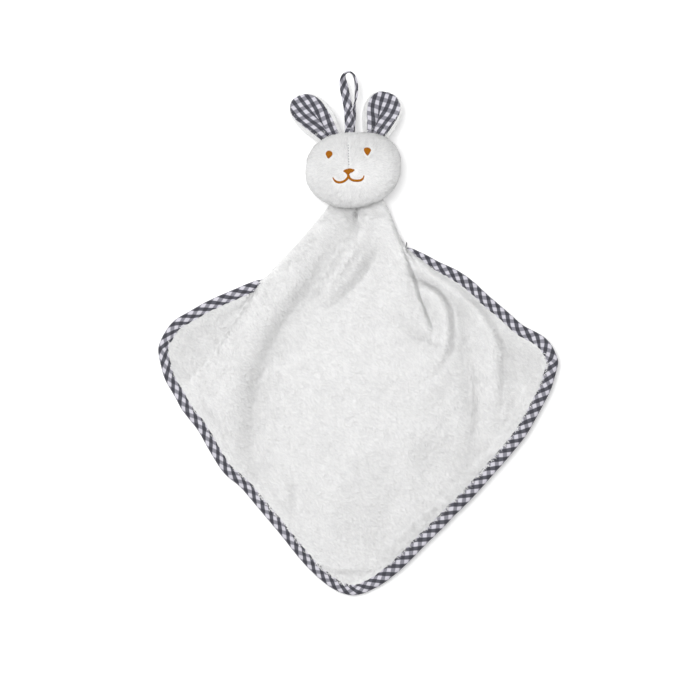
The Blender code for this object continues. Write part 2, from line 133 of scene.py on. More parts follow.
bm = bmesh.new()
bmesh.ops.create_grid(bm, x_segments=1, y_segments=1, size=3)
mesh = bpy.data.meshes.new("tableTop")
bm.to_mesh(mesh)
bm.free()
mesh.materials.append(makeTableTop())
tableTop = bpy.data.objects.new("tableTop", mesh)
scene.collection.objects.link(tableTop)
print("camera, lights and table are set")


plush = {
    "colour": "#F4F4F3",
    "shade": "#E8E8E9",          # painted shade between the tufts, where the bump is lowest
    # at the wisps' roots, painted darker as shade near the surface
    "root": "#E2E2E3",
    "fullPaintedShade": 0.78,             # times as bright under the fullest painted shade
    "tip": "#F8F8F7",
    "tuftWidth": 0.9,            # mm, across the nap
    "tuftLength": 3.2,           # mm, along it
    "clumpWidth": 5,             # mm, of tufts that lean together
    "clumpLength": 9,            # mm
}


def newMaterial(name, roughness, specular=0.5, sheen=0):
    material = bpy.data.materials.new(name)
    material.use_nodes = True
    shader = material.node_tree.nodes["Principled BSDF"]
    shader.inputs["Roughness"].default_value = roughness
    shader.inputs["Specular IOR Level"].default_value = specular
    shader.inputs["Sheen Weight"].default_value = sheen
    return material, material.node_tree, shader


def withPaintedShade(tree, colour):
    # Painted shade: the pile's colour is darkened by its painted-shade attribute, in the hollows, on the
    # left flap and over the brow and the left cheek
    paintedShade = addNode(tree, "Attribute", attribute_name="paintedShade")
    tone = addNode(tree, "MapRange", {"Value": paintedShade.outputs["Fac"], "To Min": 1,
                                      "To Max": plush["fullPaintedShade"]})
    return addNode(tree, "VectorMath", {0: colour, "Scale": tone.outputs[0]},
                   operation="SCALE").outputs[0]


def makePlush():
    # Short-pile polyester plush: soft matt fibres that lie in tufts along the nap and glow at the rim
    material, tree, shader = newMaterial("polyesterPlush", 0.95, 0.2, 0.4)
    nap = addNode(tree, "Attribute", attribute_name="nap")
    across, along = 1 / plush["tuftWidth"], 1 / plush["tuftLength"]
    tuft = addNode(tree, "Mapping", {"Vector": nap.outputs["Vector"], "Scale": (across, across, along)})
    tufts = addNode(tree, "TexNoise", {"Vector": tuft.outputs[0], "Scale": 1, "Detail": 2,
                                       "Roughness": 0.6, "Distortion": 0.5})
    clumpAcross, clumpAlong = 1 / plush["clumpWidth"], 1 / plush["clumpLength"]
    clump = addNode(tree, "Mapping", {"Vector": nap.outputs["Vector"],
                                      "Scale": (clumpAcross, clumpAcross, clumpAlong)})
    clumps = addNode(tree, "TexNoise", {"Vector": clump.outputs[0], "Scale": 1, "Detail": 2})
    # Painted shade: the pile's colour is darker where its tufts dip
    shade = addNode(tree, "MapRange", {"Value": tufts.outputs["Fac"], "From Min": 0.3, "From Max": 0.6})
    mixed = addNode(tree, "Mix", {0: shade.outputs[0], 6: hexToLinear(plush["shade"]),
                                  7: hexToLinear(plush["colour"])}, data_type="RGBA")
    colour = withPaintedShade(tree, mixed.outputs[2])
    height = addNode(tree, "Math", {0: clumps.outputs["Fac"], 1: 1.0, 2: tufts.outputs["Fac"]},
                     operation="MULTIPLY_ADD")
    bump = addNode(tree, "Bump", {"Strength": 0.5, "Distance": 0.9 * mm, "Height": height.outputs[0]})
    tree.links.new(colour, shader.inputs["Base Color"])
    tree.links.new(bump.outputs[0], shader.inputs["Normal"])
    shader.inputs["Sheen Roughness"].default_value = 0.6
    return material


def makeWisps():
    # The same plush's fibres where they stand clear of it
    material, tree, shader = newMaterial("polyesterPlushWisps", 0.9, 0.2, 0.4)
    tone = addNode(tree, "Attribute", attribute_name="tone")
    mixed = addNode(tree, "Mix", {0: tone.outputs["Fac"], 6: hexToLinear(plush["root"]),
                                  7: hexToLinear(plush["tip"])}, data_type="RGBA")
    tree.links.new(withPaintedShade(tree, mixed.outputs[2]), shader.inputs["Base Color"])
    return material


gingham = {
    "repeat": 8.0,               # mm, one dark and one light band
    "darkOnDark": "#44444B",
    "darkOnLight": "#5A5A62",
    "lightOnDark": "#8A8992",
    "lightOnLight": "#D3D1DA",
    "bandBlur": 0.3,             # mm, how softly a band's edge starts
    "yarn": 0.55,                # mm. Real yarns are 0.25 mm apart, too fine to show, so these are coarser
}


def makeGingham():
    # Yarn-dyed cotton gingham: flat matt yarns, and a little of the dark warp shows where it is on top
    material, tree, shader = newMaterial("cottonGingham", 0.88, 0.25, 0.1)
    weave = addNode(tree, "UVMap", uv_map="weave")
    sway = addNode(tree, "TexNoise", {"Vector": weave.outputs[0], "Scale": 0.12, "Detail": 1})
    pull = addNode(tree, "VectorMath", {0: sway.outputs["Color"], 1: (0.9, 0.9, 0)}, operation="MULTIPLY")
    swayed = addNode(tree, "VectorMath", {0: weave.outputs[0], 1: pull.outputs[0]}, operation="ADD")
    axes = addNode(tree, "SeparateXYZ", {0: swayed.outputs[0]})

    def band(axis):
        wave = addNode(tree, "Math", {0: axes.outputs[axis], 1: gingham["repeat"] / 2},
                       operation="PINGPONG")
        quarter, blur = gingham["repeat"] / 4, gingham["bandBlur"]
        return addNode(tree, "MapRange", {"Value": wave.outputs[0], "From Min": quarter - blur,
                                          "From Max": quarter + blur}).outputs[0]

    warp, weft = band("X"), band("Y")
    light = addNode(tree, "Mix", {0: weft, 6: hexToLinear(gingham["lightOnLight"]),
                                  7: hexToLinear(gingham["lightOnDark"])}, data_type="RGBA")
    dark = addNode(tree, "Mix", {0: weft, 6: hexToLinear(gingham["darkOnLight"]),
                                 7: hexToLinear(gingham["darkOnDark"])}, data_type="RGBA")
    check = addNode(tree, "Mix", {0: warp, 6: light.outputs[2], 7: dark.outputs[2]}, data_type="RGBA")
    yarns = addNode(tree, "VectorMath", {0: swayed.outputs[0], 1: (math.pi / gingham["yarn"],) * 3},
                    operation="MULTIPLY")
    yarnAxes = addNode(tree, "SeparateXYZ", {0: yarns.outputs[0]})
    across = addNode(tree, "Math", {0: yarnAxes.outputs["X"]}, operation="SINE")
    along = addNode(tree, "Math", {0: yarnAxes.outputs["Y"]}, operation="SINE")
    over = addNode(tree, "Math", {0: across.outputs[0], 1: along.outputs[0]}, operation="MULTIPLY")
    fluff = addNode(tree, "TexNoise", {"Vector": swayed.outputs[0], "Scale": 1.6, "Detail": 2})
    rise = addNode(tree, "Math", {0: over.outputs[0], 1: 0.5, 2: fluff.outputs["Fac"]},
                   operation="MULTIPLY_ADD")
    # Painted light and shade on the weave: the colour is lighter where the yarns rise and darker in the
    # dips between them, with some random fluff
    tone = addNode(tree, "MapRange", {"Value": rise.outputs[0], "From Min": 0, "From Max": 1,
                                      "To Min": 0.86, "To Max": 1.1})
    colour = addNode(tree, "VectorMath", {0: check.outputs[2], "Scale": tone.outputs[0]},
                     operation="SCALE")
    bump = addNode(tree, "Bump", {"Strength": 0.35, "Distance": 0.25 * mm, "Height": rise.outputs[0]})
    tree.links.new(colour.outputs[0], shader.inputs["Base Color"])
    tree.links.new(bump.outputs[0], shader.inputs["Normal"])
    return material


def makeThread(name, colour, shade, roughness):
    # Twisted sewing thread: its plies catch the light in fine slanting lines
    material, tree, shader = newMaterial(name, roughness, 0.2)
    place = addNode(tree, "TexCoord")
    grain = addNode(tree, "TexNoise", {"Vector": place.outputs["Object"], "Scale": 1 / (0.8 * mm),
                                       "Detail": 2})
    mixed = addNode(tree, "Mix", {0: grain.outputs["Fac"], 6: hexToLinear(shade), 7: hexToLinear(colour)},
                    data_type="RGBA")
    plies = addNode(tree, "TexWave", {"Vector": place.outputs["Object"], "Scale": 1 / (2.2 * mm),
                                      "Distortion": 1.5}, bands_direction="DIAGONAL")
    bump = addNode(tree, "Bump", {"Strength": 0.3, "Distance": 0.1 * mm, "Height": plies.outputs["Fac"]})
    tree.links.new(mixed.outputs[2], shader.inputs["Base Color"])
    tree.links.new(bump.outputs[0], shader.inputs["Normal"])
    return material


def makeFilling():
    # Polyester fibre filling: loose white fibres in soft clumps
    material, tree, shader = newMaterial("fibreFilling", 1)
    place = addNode(tree, "TexCoord")
    fibres = addNode(tree, "TexNoise", {"Vector": place.outputs["Object"], "Scale": 1 / (3 * mm),
                                        "Detail": 5, "Distortion": 1.5})
    colour = addNode(tree, "Mix", {0: fibres.outputs["Fac"], 6: hexToLinear("#DADADA"),
                                   7: hexToLinear("#F2F2F0")}, data_type="RGBA")
    bump = addNode(tree, "Bump", {"Strength": 0.8, "Distance": 1 * mm, "Height": fibres.outputs["Fac"]})
    tree.links.new(colour.outputs[2], shader.inputs["Base Color"])
    tree.links.new(bump.outputs[0], shader.inputs["Normal"])
    return material


whitePlush = makePlush()
plushWisps = makeWisps()
cottonGingham = makeGingham()
greyThread = makeThread("greyPolyesterThread", "#B4B4BA", "#8C8C94", 0.6)
brownThread = makeThread("brownRayonThread", "#C67806", "#7C4B00", 0.5)
fibreFilling = makeFilling()
print("materials are made")


def smoothLine(points, steps):
    # A Catmull-Rom curve through the points, with this many steps from one to the next
    points = np.asarray(points, float)
    padded = np.concatenate([[2 * points[0] - points[1]], points, [2 * points[-1] - points[-2]]])
    line = []
    for start in range(len(points) - 1):
        a, b, c, d = padded[start:start + 4]
        for t in np.arange(steps) / steps:
            line.append(b + (c - a) * t / 2 + (a - 2.5 * b + 2 * c - d / 2) * t**2
                        + (1.5 * (b - c) + (d - a) / 2) * t**3)
    return np.array(line + [points[-1]])


def spacedLine(line, count):
    # The same line with count even steps
    walked = np.concatenate([[0], np.cumsum(np.linalg.norm(np.diff(line, axis=0), axis=1))])
    stops = np.linspace(0, walked[-1], count + 1)
    return np.stack([np.interp(stops, walked, line[:, axis]) for axis in range(line.shape[1])], axis=1)


def smoothStep(value, low, high):
    share = np.clip((value - low) / (high - low), 0, 1)
    return share * share * (3 - 2 * share)


def unit(vectors):
    return vectors / np.maximum(np.linalg.norm(vectors, axis=-1, keepdims=True), 1e-12)


def noiseAt(points, size, offset=0):
    # Smooth noise from -1 to 1 whose lumps are about this size
    shift = Vector((offset, offset, offset))
    return np.array([noise.noise(Vector(point) / size + shift) for point in points])


def finishPiece(name, mesh, material):
    mesh.shade_smooth()
    mesh.materials.append(material)
    piece = bpy.data.objects.new(name, mesh)
    scene.collection.objects.link(piece)
    return piece


def meshFrom(name, bm):
    mesh = bpy.data.meshes.new(name)
    bm.to_mesh(mesh)
    bm.free()
    return mesh


def setWeave(mesh, flat):
    # The place of each vertex in the woven cloth, in mm along its weft and its warp
    corners = np.empty(len(mesh.loops), int)
    mesh.loops.foreach_get("vertex_index", corners)
    layer = mesh.uv_layers.new(name="weave")
    layer.data.foreach_set("uv", (np.asarray(flat, float)[corners] / mm).ravel())


def setNap(mesh, flat):
    # The place of each vertex in the pile, in mm, of which the last runs the way that the pile lies
    attribute = mesh.attributes.new("nap", "FLOAT_VECTOR", "POINT")
    attribute.data.foreach_set("vector", (np.asarray(flat, float) / mm).ravel())


def formSheet(name, places, flat, material):
    # A grid whose points go to their places, with the first row at its top. A flat place has two numbers
    # in a woven cloth and three in a pile.
    rows, columns = places.shape[:2]
    bm = bmesh.new()
    bmesh.ops.create_grid(bm, x_segments=columns - 1, y_segments=rows - 1, size=1)
    mesh = meshFrom(name, bm)
    spots = np.empty(len(mesh.vertices) * 3)
    mesh.vertices.foreach_get("co", spots)
    spots = spots.reshape(-1, 3)
    column = np.rint((spots[:, 0] + 1) / 2 * (columns - 1)).astype(int)
    row = np.rint((1 - spots[:, 1]) / 2 * (rows - 1)).astype(int)
    mesh.vertices.foreach_set("co", places[row, column].ravel())
    (setWeave if flat.shape[2] == 2 else setNap)(mesh, flat[row, column])
    mesh.update()
    return finishPiece(name, mesh, material)


def thicken(piece, thickness, offset=0):
    modifier = piece.modifiers.new("thickness", "SOLIDIFY")
    modifier.thickness = thickness
    modifier.offset = offset


def sewStitches(name, ends, radius, material, flatness=0.8):
    # Plump stitches, each from one end to the other with its own up direction
    bm = bmesh.new()
    for start, end, up in ends:
        start, end, up = Vector(start), Vector(end), Vector(up)
        along = end - start
        side = up.cross(along).normalized() * radius
        rise = along.cross(side).normalized() * radius * flatness
        turn = Matrix((side, rise, along / 2)).transposed().to_4x4()
        bmesh.ops.create_uvsphere(bm, u_segments=8, v_segments=6, radius=1,
                                  matrix=Matrix.Translation((start + end) / 2) @ turn)
    bmesh.ops.recalc_face_normals(bm, faces=bm.faces)
    return finishPiece(name, meshFrom(name, bm), material)


pile = {
    "length": 3.8 * mm,
    "width": 0.6 * mm,          # of a wisp of fibres that lie together
    "rise": math.radians(16),
    "clearance": 1 * mm,        # from a stitch that presses it down
}


def growPile(surface, name, count, flow, above=0, weight=None, scale=1, clear=None):
    # Wisps of plush, spread evenly over the outside of a surface or where its vertices have weight, laid
    # the way that the pile is brushed, and left out wherever one would lie on a clear spot
    mesh = surface.data
    mesh.calc_loop_triangles()
    spots, outs = np.empty(len(mesh.vertices) * 3), np.empty(len(mesh.vertices) * 3)
    mesh.vertices.foreach_get("co", spots)
    mesh.vertices.foreach_get("normal", outs)
    spots, outs = spots.reshape(-1, 3), outs.reshape(-1, 3)
    corners = np.empty(len(mesh.loop_triangles) * 3, int)
    mesh.loop_triangles.foreach_get("vertices", corners)
    corners = corners.reshape(-1, 3)
    first, second, third = spots[corners].transpose(1, 0, 2)
    room = np.linalg.norm(np.cross(second - first, third - first), axis=1)
    if weight is not None:
        room = room * weight[corners].mean(axis=1)
    random = np.random.default_rng(len(name))
    pick = corners[random.choice(len(corners), count, p=room / room.sum())]
    cuts = np.sort(random.random((count, 2)), axis=1)
    shares = np.stack([cuts[:, 0], cuts[:, 1] - cuts[:, 0], 1 - cuts[:, 1]], axis=1)[:, :, None]
    out = unit((shares * outs[pick]).sum(axis=1))
    roots = (shares * spots[pick]).sum(axis=1) + out * above
    clump = noiseAt(roots, 7 * mm)
    turn = (clump * 0.45 + random.normal(0, 0.18, count))[:, None]
    ahead = flow(roots)
    ahead = unit(ahead - out * (ahead * out).sum(axis=1, keepdims=True))
    ahead = ahead * np.cos(turn) + np.cross(out, ahead) * np.sin(turn)
    rise = (pile["rise"] * (1 + noiseAt(roots, 4 * mm, 5) + random.normal(0, 0.3, count)))[:, None]
    wide = np.cross(out, ahead) * pile["width"] / 2 * scale
    length = pile["length"] * scale * random.uniform(0.6, 1.3, count)[:, None]
    ahead, up = ahead * np.cos(rise) * length, out * np.sin(rise) * length
    middle = roots + ahead * 0.5 + up * 0.65
    tip = roots + ahead + up
    places = np.stack([roots + wide * 0.5, roots - wide * 0.5, middle - wide, middle + wide, tip], axis=1)
    kept = np.ones(count, bool)
    if clear is not None:
        near = [np.min([(point[:, 0] - x)**2 + (point[:, 1] - y)**2 for x, y, _ in clear], axis=0)
                for point in (roots, roots * 0.5 + middle * 0.5, middle, middle * 0.5 + tip * 0.5, tip)]
        kept = np.min(near, axis=0) > pile["clearance"]**2
    places = places[kept]
    count = len(places)
    wisps = bpy.data.meshes.new(name)
    wisps.vertices.add(count * 5)
    wisps.vertices.foreach_set("co", places.ravel())
    wisps.loops.add(count * 7)
    corners = np.arange(count)[:, None] * 5 + (0, 1, 2, 3, 3, 2, 4)
    wisps.loops.foreach_set("vertex_index", corners.ravel())
    wisps.polygons.add(count * 2)
    wisps.polygons.foreach_set("loop_start", (np.arange(count)[:, None] * 7 + (0, 4)).ravel())
    wisps.update(calc_edges=True)
    # The wisps take on the painted shade of the surface under them
    if "paintedShade" in mesh.attributes:
        paintedShade = np.empty(len(mesh.vertices))
        mesh.attributes["paintedShade"].data.foreach_get("value", paintedShade)
        paintedShade = (shares[:, :, 0] * paintedShade[pick]).sum(axis=1)[kept]
        wisps.attributes.new("paintedShade", "FLOAT", "POINT").data.foreach_set("value", paintedShade.repeat(5))
    # Each wisp's tone differs at random, and it is painted darker at the root as shade and lighter towards
    # the tip
    tone = random.uniform(0, 0.7, count)[:, None] + (0, 0, 0.15, 0.15, 0.3)
    wisps.attributes.new("tone", "FLOAT", "POINT").data.foreach_set("value", tone.ravel())
    wisps = finishPiece(name, wisps, plushWisps)
    return wisps


blanket = {
    "halfWidth": 178.2 * mm,
    "length": 348.3 * mm,
    "neckY": 280 * mm,
    "tuckWidth": 42 * mm,
    "tuckShift": 3 * mm,
    "neckRadius": 4 * mm,
    "tuck": 7 * mm,              # how far the gathered corner goes up into the head
    "seamHeight": 12 * mm,
    "foldHeight": 20 * mm,
    "thickness": 2.2 * mm,
    "rows": 170,
    "columns": 190,
    "hemLift": 2.8 * mm,
    "hemCurl": 1.5,              # how much more the right edge lifts
    "rimRound": 3.5 * mm,        # of the roll on the left flap
    "rollRun": 34 * mm,          # over which that roll reaches its height
    "foldEnd": 8 * mm,           # over which a fold fades out past its ends
    "flapShade": 0.42,           # how dark the left flap is painted
    "wisps": 60000,              # on each half
    "pileSplit": 115 * mm,
    "cut": (300 * mm, 300 * mm),
}

# Each row follows one fold from under the neck to the hem, from the left bound edge to the right one:
# right as a share of the half width, down as a share of the length, and up as a share of the folds
foldLines = (
    ((-0.120, 0.074, 0.30), (-0.250, 0.134, 0.10), (-0.430, 0.190, 0.02), (-0.620, 0.222, 0),
     (-0.806, 0.272, 0), (-0.987, 0.363, 0)),
    ((-0.180, 0.076, 0.32), (-0.325, 0.140, 0.22), (-0.470, 0.200, 0.30), (-0.639, 0.262, 0.02),
     (-0.810, 0.324, 0.01), (-0.985, 0.405, 0)),
    ((-0.258, 0.074, 0.62), (-0.390, 0.148, 0.54), (-0.500, 0.216, 0.60), (-0.659, 0.306, 0.36),
     (-0.800, 0.399, 0.20), (-0.952, 0.456, 0)),
    ((-0.210, 0.084, 0.92), (-0.326, 0.174, 0.90), (-0.462, 0.257, 0.76), (-0.598, 0.350, 0.54),
     (-0.715, 0.459, 0.28), (-0.780, 0.575, 0)),
    ((-0.139, 0.092, 0.72), (-0.220, 0.193, 0.50), (-0.341, 0.317, 0.26), (-0.472, 0.446, 0.06),
     (-0.523, 0.575, 0), (-0.578, 0.702, 0)),
    ((-0.114, 0.097, 0.88), (-0.220, 0.205, 0.62), (-0.300, 0.329, 0.36), (-0.361, 0.497, 0.16),
     (-0.391, 0.665, 0), (-0.386, 0.826, 0)),
    ((-0.063, 0.092, 0.84), (-0.149, 0.213, 0.66), (-0.205, 0.355, 0.34), (-0.255, 0.536, 0.10),
     (-0.270, 0.730, 0), (-0.225, 0.929, 0)),
    ((-0.018, 0.102, 0.98), (-0.093, 0.221, 0.74), (-0.129, 0.368, 0.36), (-0.129, 0.549, 0.10),
     (-0.114, 0.756, 0), (-0.038, 0.999, 0)),
    ((0.068, 0.092, 0.74), (-0.018, 0.218, 0.50), (-0.028, 0.368, 0.32), (-0.003, 0.549, 0.10),
     (0.033, 0.756, 0), (0.109, 0.975, 0)),
    ((0.149, 0.105, 0.94), (0.164, 0.239, 0.78), (0.154, 0.368, 0.46), (0.164, 0.536, 0.18),
     (0.200, 0.704, 0), (0.250, 0.908, 0)),
    ((0.210, 0.105, 0.84), (0.285, 0.218, 0.72), (0.356, 0.311, 0.50), (0.351, 0.472, 0.26),
     (0.376, 0.640, 0.10), (0.427, 0.823, 0)),
    ((0.236, 0.107, 0.68), (0.272, 0.224, 0.28), (0.376, 0.322, 0.22), (0.396, 0.459, 0.20),
     (0.422, 0.614, 0.08), (0.477, 0.787, 0)),
    ((0.242, 0.108, 0.54), (0.356, 0.216, 0.42), (0.472, 0.296, 0.46), (0.462, 0.420, 0.36),
     (0.472, 0.575, 0.18), (0.538, 0.748, 0)),
    ((0.243, 0.107, 0.42), (0.396, 0.210, 0.16), (0.538, 0.286, 0.12), (0.583, 0.420, 0.10),
     (0.593, 0.562, 0.06), (0.639, 0.678, 0)),
    ((0.243, 0.106, 0.30), (0.437, 0.198, 0.30), (0.598, 0.273, 0.40), (0.705, 0.378, 0.42),
     (0.745, 0.497, 0.26), (0.790, 0.575, 0)),
    ((0.242, 0.105, 0.18), (0.482, 0.187, 0.08), (0.649, 0.262, 0.10), (0.770, 0.337, 0.04),
     (0.881, 0.399, 0.02), (0.972, 0.464, 0)),
    ((0.228, 0.103, 0.05), (0.518, 0.172, 0.02), (0.679, 0.239, 0), (0.831, 0.301, 0),
     (0.947, 0.341, 0), (1.013, 0.399, 0)),
)
neckStarts = (
    (-0.40, -0.66), (-0.79, -0.50), (-1.00, -0.10), (-0.86, 0.28), (-0.61, 0.32), (-0.37, 0.38),
    (-0.05, 0.10), (0.23, 0.40), (0.54, 0.36), (0.74, 0.36), (0.90, 0.26), (1.00, 0.00),
    (0.97, -0.22), (0.88, -0.38), (0.76, -0.50), (0.60, -0.60), (0.42, -0.66),
)


# The folds as they lie, each with its heights in mm from its start to its end, how far it spreads to the
# left and to the right of its line, and the line, also in mm
folds = (
    # the roll over the left flap, and the valley that runs beside it from the pinch at the neck
    ((2, 3, 4, 4.5, 4, 3, 1), 13, 14, ((-30, 273), (-46, 245), (-76, 207), (-97, 179), (-116, 142),
                                       (-124, 112), (-122, 84))),
    ((-4, -3, 0), 1.8, 2, ((0.5, 286), (0.3, 278), (-0.5, 271), (-3, 263))),
    ((-1, -2, -4, -5.5, -5.5, -4, -1), 11, 15, ((0, 281), (-2, 265), (-8, 249), (-21, 231), (-36, 210),
                                               (-58, 183), (-77, 148), (-87, 117), (-92, 88), (-91, 60),
                                               (-82, 36))),
    # the short ridge in the middle and its valley
    ((2, 5, 6, 4, 0), 9, 7, ((13, 271), (1, 250), (-13, 230), (-28, 207), (-36, 194))),
    ((0, -3, -4, -3, 0), 7, 16, ((25, 256), (20, 240), (11, 222), (-5, 204), (-20, 190), (-34, 180))),
    # the edge of the middle panel, and the hollow under its tip
    ((0.5, 1.5, 3, 4, 3), 22, 3, ((24, 276), (37, 246), (45, 222), (52, 201), (57.5, 186), (62, 172))),
    ((0, -2, -2.4, 0), 4, 9, ((36, 184), (49, 169), (61, 160), (74, 157))),
    # the curled roll right of it, with the valleys that follow it round
    ((4, 6, 6, 4.5, 2, 0), 12, 5, ((55, 210), (69, 202), (78, 188), (80, 169), (77, 150), (64, 133),
                                   (40, 121))),
    ((-3, -2.5, -2, -1, 0), 4, 10, ((54, 216), (73, 207), (85, 194), (89, 174), (89, 152), (82, 132))),
    ((0, -2, -3, -3, -2, 0), 9, 6, ((92, 175), (98, 150), (102, 122), (102, 92), (99, 60), (96, 44))),
    # the long ridge on the right, and the dip outside it
    ((2, 4, 5, 5, 4, 1), 13, 11, ((52, 229), (82, 218), (102, 204), (116, 182), (122, 156), (121, 118),
                                 (113, 70))),
    ((0, -1.5, -1.5, 0), 4, 9, ((124, 186), (131, 160), (132, 115), (128, 78))),
    # low waves towards the hem
    ((0, 2.6, 2.6, 1), 10, 8, ((-88, 89), (-78, 51), (-68, 29), (-63, -5))),
    ((0, -1.4, 0), 5, 10, ((-56, 48), (-54, 23), (-54, -5))),
    ((0, 2.2, 2.2, 0), 11, 8, ((96, 130), (74, 94), (55, 72), (34, 57))),
    ((0, -1.4, -1.2, 0), 6, 14, ((94, 81), (78, 66), (59, 51), (40, 33))),
    ((0, -1.6, 0), 2, 5, ((-24, -44), (-9, -47), (8, -47))),
    ((0, -0.9, -0.9, 0), 4, 4, ((-166, 166), (-149, 159), (-132, 152), (-125, 141))),
)
# How much further out the edge lies than the fold lines' ends, in mm, after the direction in degrees
# from a place in the blanket's middle
edgeMiddle = (0, 90 * mm)
edgeBulge = ((-180, 0), (-176, 0), (-168, 3.8), (-158, 6.4), (-150, 2.6), (-140, 1.8), (-124, 0.8),
             (-110, 0), (-100, 0), (-90, -2), (-80, 0), (-72, 2.2), (-60, 0.6), (-50, 0.8), (-44, 2.8),
             (-36, 5), (-28, 7), (-22, 8.4), (-16, 10.2), (-11, 11.6), (-5, 12.6), (0, 10), (4, 6.4),
             (9, 1.4), (12, -0.8), (20, 1), (28, -2), (36, -0.5), (60, 0.6), (66, 2.6), (72, 2.8),
             (78, 0), (118, 0), (126, 2.8), (134, 0.7), (146, 1.8), (152, 6), (157, 3.8), (160, 0),
             (166, -3.4), (172, -2.8), (176, 0), (180, 0))
# The rim of the roll over the left flap, and the edge of the raised panel on the right, in mm
leftRim = ((-42, 288), (-63, 252), (-86, 214), (-98.5, 192), (-115.5, 168), (-128.5, 148), (-143, 131),
           (-154, 121))
panelEdge = ((27, 277), (39, 246), (47.5, 222), (54.5, 201), (60, 186), (65, 174))
foldScale = 1.3
# The height of the cloth between its folds in mm, after how far down it is
billow = ((-0.02, 11), (0, 12.5), (0.03, 16), (0.09, 17), (0.22, 14), (0.37, 10), (0.55, 6.5),
          (0.75, 3.5), (1, 1.1))


def besideLine(x, y, line):
    # How far each point lies beside a line, which is positive on the right of one that runs down the
    # cloth, how far it lies past an end, and how far along the line it is
    path = smoothLine(np.array(line, float) * mm, 30)
    ahead = unit(np.gradient(path, axis=0))
    nearest = np.argmin((x[:, None] - path[:, 0])**2 + (y[:, None] - path[:, 1])**2, axis=1)
    awayX, awayY = x - path[nearest, 0], y - path[nearest, 1]
    aheadX, aheadY = ahead[nearest].T
    return aheadX * awayY - aheadY * awayX, aheadX * awayX + aheadY * awayY, nearest / (len(path) - 1)


def bandOf(x, y, levels, left, right, line):
    # The levels along a line, which fade out on both sides of it and past its ends
    away, past, share = besideLine(x, y, line)
    width = np.where(away < 0, left, right) * mm
    return (np.interp(share, np.linspace(0, 1, len(levels)), levels)
            * np.exp(-(away / width)**2 - (past / blanket["foldEnd"])**2))


def foldHeights(x, y):
    down = (blanket["neckY"] - y) / blanket["length"]
    height = np.interp(down, *np.array(billow).T) * mm
    fromPanel = besideLine(x, y, panelEdge)[0]
    besidePanel = smoothStep(fromPanel, -1 * mm, 3 * mm) * smoothStep(y, 158 * mm, 178 * mm)
    height *= (1 - 0.4 * besidePanel) * (1 - smoothStep(fromPanel, 25 * mm, 110 * mm))
    for fold in folds:
        height += bandOf(x, y, *fold) * foldScale * mm
    # The roll stands on the left flap with a round edge
    fromRim = besideLine(x, y, leftRim)[0]
    rounding = (np.sqrt(1 - (1 - np.clip(fromRim / blanket["rimRound"], 0, 1))**2)
                * (0.4 + 0.6 * smoothStep(fromRim, 0, blanket["rollRun"])))
    return height * np.maximum(rounding, smoothStep(-y, -126 * mm, -108 * mm)), down


def drapeCloth():
    lines = []
    # A fourth number says which fold a point belongs to, and is too small to count as a distance
    mark = 1e-9
    for index, ((side, up), fold) in enumerate(zip(neckStarts, foldLines)):
        start = (side * blanket["tuckWidth"] / 2 + blanket["tuckShift"],
                 blanket["neckY"] + blanket["tuck"],
                 blanket["seamHeight"] + up * blanket["neckRadius"], index * mark)
        run = [(right * blanket["halfWidth"], blanket["neckY"] - down * blanket["length"],
                high * blanket["foldHeight"] + blanket["thickness"] / 2, index * mark)
               for right, down, high in fold]
        lines.append(smoothLine([start, *run], 12))
    across = np.array([smoothLine(row, 12) for row in np.swapaxes(lines, 0, 1)])
    down = [spacedLine(across[:, column], blanket["rows"]) for column in range(across.shape[1])]
    points = np.array([spacedLine(row, blanket["columns"]) for row in np.swapaxes(down, 0, 1)])
    fold = points[:, :, 3] / mark
    points = points[:, :, :3]
    rows, columns = points.shape[:2]
    rowShare, columnShare = np.meshgrid(np.linspace(0, 1, rows), np.linspace(0, 1, columns),
                                        indexing="ij")
    inside = np.minimum.reduce([1 - rowShare, columnShare * 1.4, (1 - columnShare) * 1.4])
    away = points[:, :, :2] - edgeMiddle
    turned = np.degrees(np.arctan2(away[:, :, 1], away[:, :, 0]))
    bulge = np.interp(turned, *smoothLine(edgeBulge, 6).T) * mm * (1 - smoothStep(inside, 0, 0.3))
    points[:, :, :2] += unit(away) * bulge[:, :, None]
    flat = points.reshape(-1, 3)
    height, down = (values.reshape(rows, columns) for values in foldHeights(flat[:, 0], flat[:, 1]))
    # What is tucked under the roll, under the panel's edge or into the head keeps its own height
    tucked = np.maximum.reduce([smoothStep(-fold, -1.9, -1.4) * (1 - smoothStep(down, 0.19, 0.22)),
                                smoothStep(fold, 10.9, 11.4) * (1 - smoothStep(down, 0.10, 0.19)),
                                1 - smoothStep(down, -0.012, 0.012)])
    points[:, :, 2] += (height - points[:, :, 2]) * (1 - tucked)
    # Small rumples, which fade out at the hem where the binding holds the cloth
    level = flat * (1, 1, 0)
    rumple = noiseAt(level, 34 * mm) * 0.8 * mm + noiseAt(level, 13 * mm, 7) * 0.35 * mm
    points[:, :, 2] += (rumple.reshape(rows, columns) * smoothStep(inside, 0.02, 0.12)
                        * smoothStep(rowShare, 0.05, 0.2))
    onTable = (1 - smoothStep(inside, 0.03, 0.10)) * smoothStep(rowShare, 0.02, 0.12)
    points[:, :, 2] += (blanket["thickness"] / 2 - points[:, :, 2]) * onTable
    points[:, :, 2] = np.maximum(points[:, :, 2], blanket["thickness"] / 2)
    lift = 1 - smoothStep(inside, 0.035, 0.09)
    # The right edge curls up more than the left one
    curl = 1 + (blanket["hemCurl"] * smoothStep(points[:, :, 0], 0, 60 * mm)
                * (1 - smoothStep(points[:, :, 1], 150 * mm, 190 * mm)))
    points[:, :, 2] += lift * blanket["hemLift"] * curl * smoothStep(rowShare, 0, 0.06)
    flatPlaces = np.stack([(columnShare - 0.5) * blanket["cut"][0] * (0.17 + 0.83 * rowShare) * 1.2,
                           0 * rowShare, -rowShare * blanket["length"]], axis=2)
    return points, flatPlaces
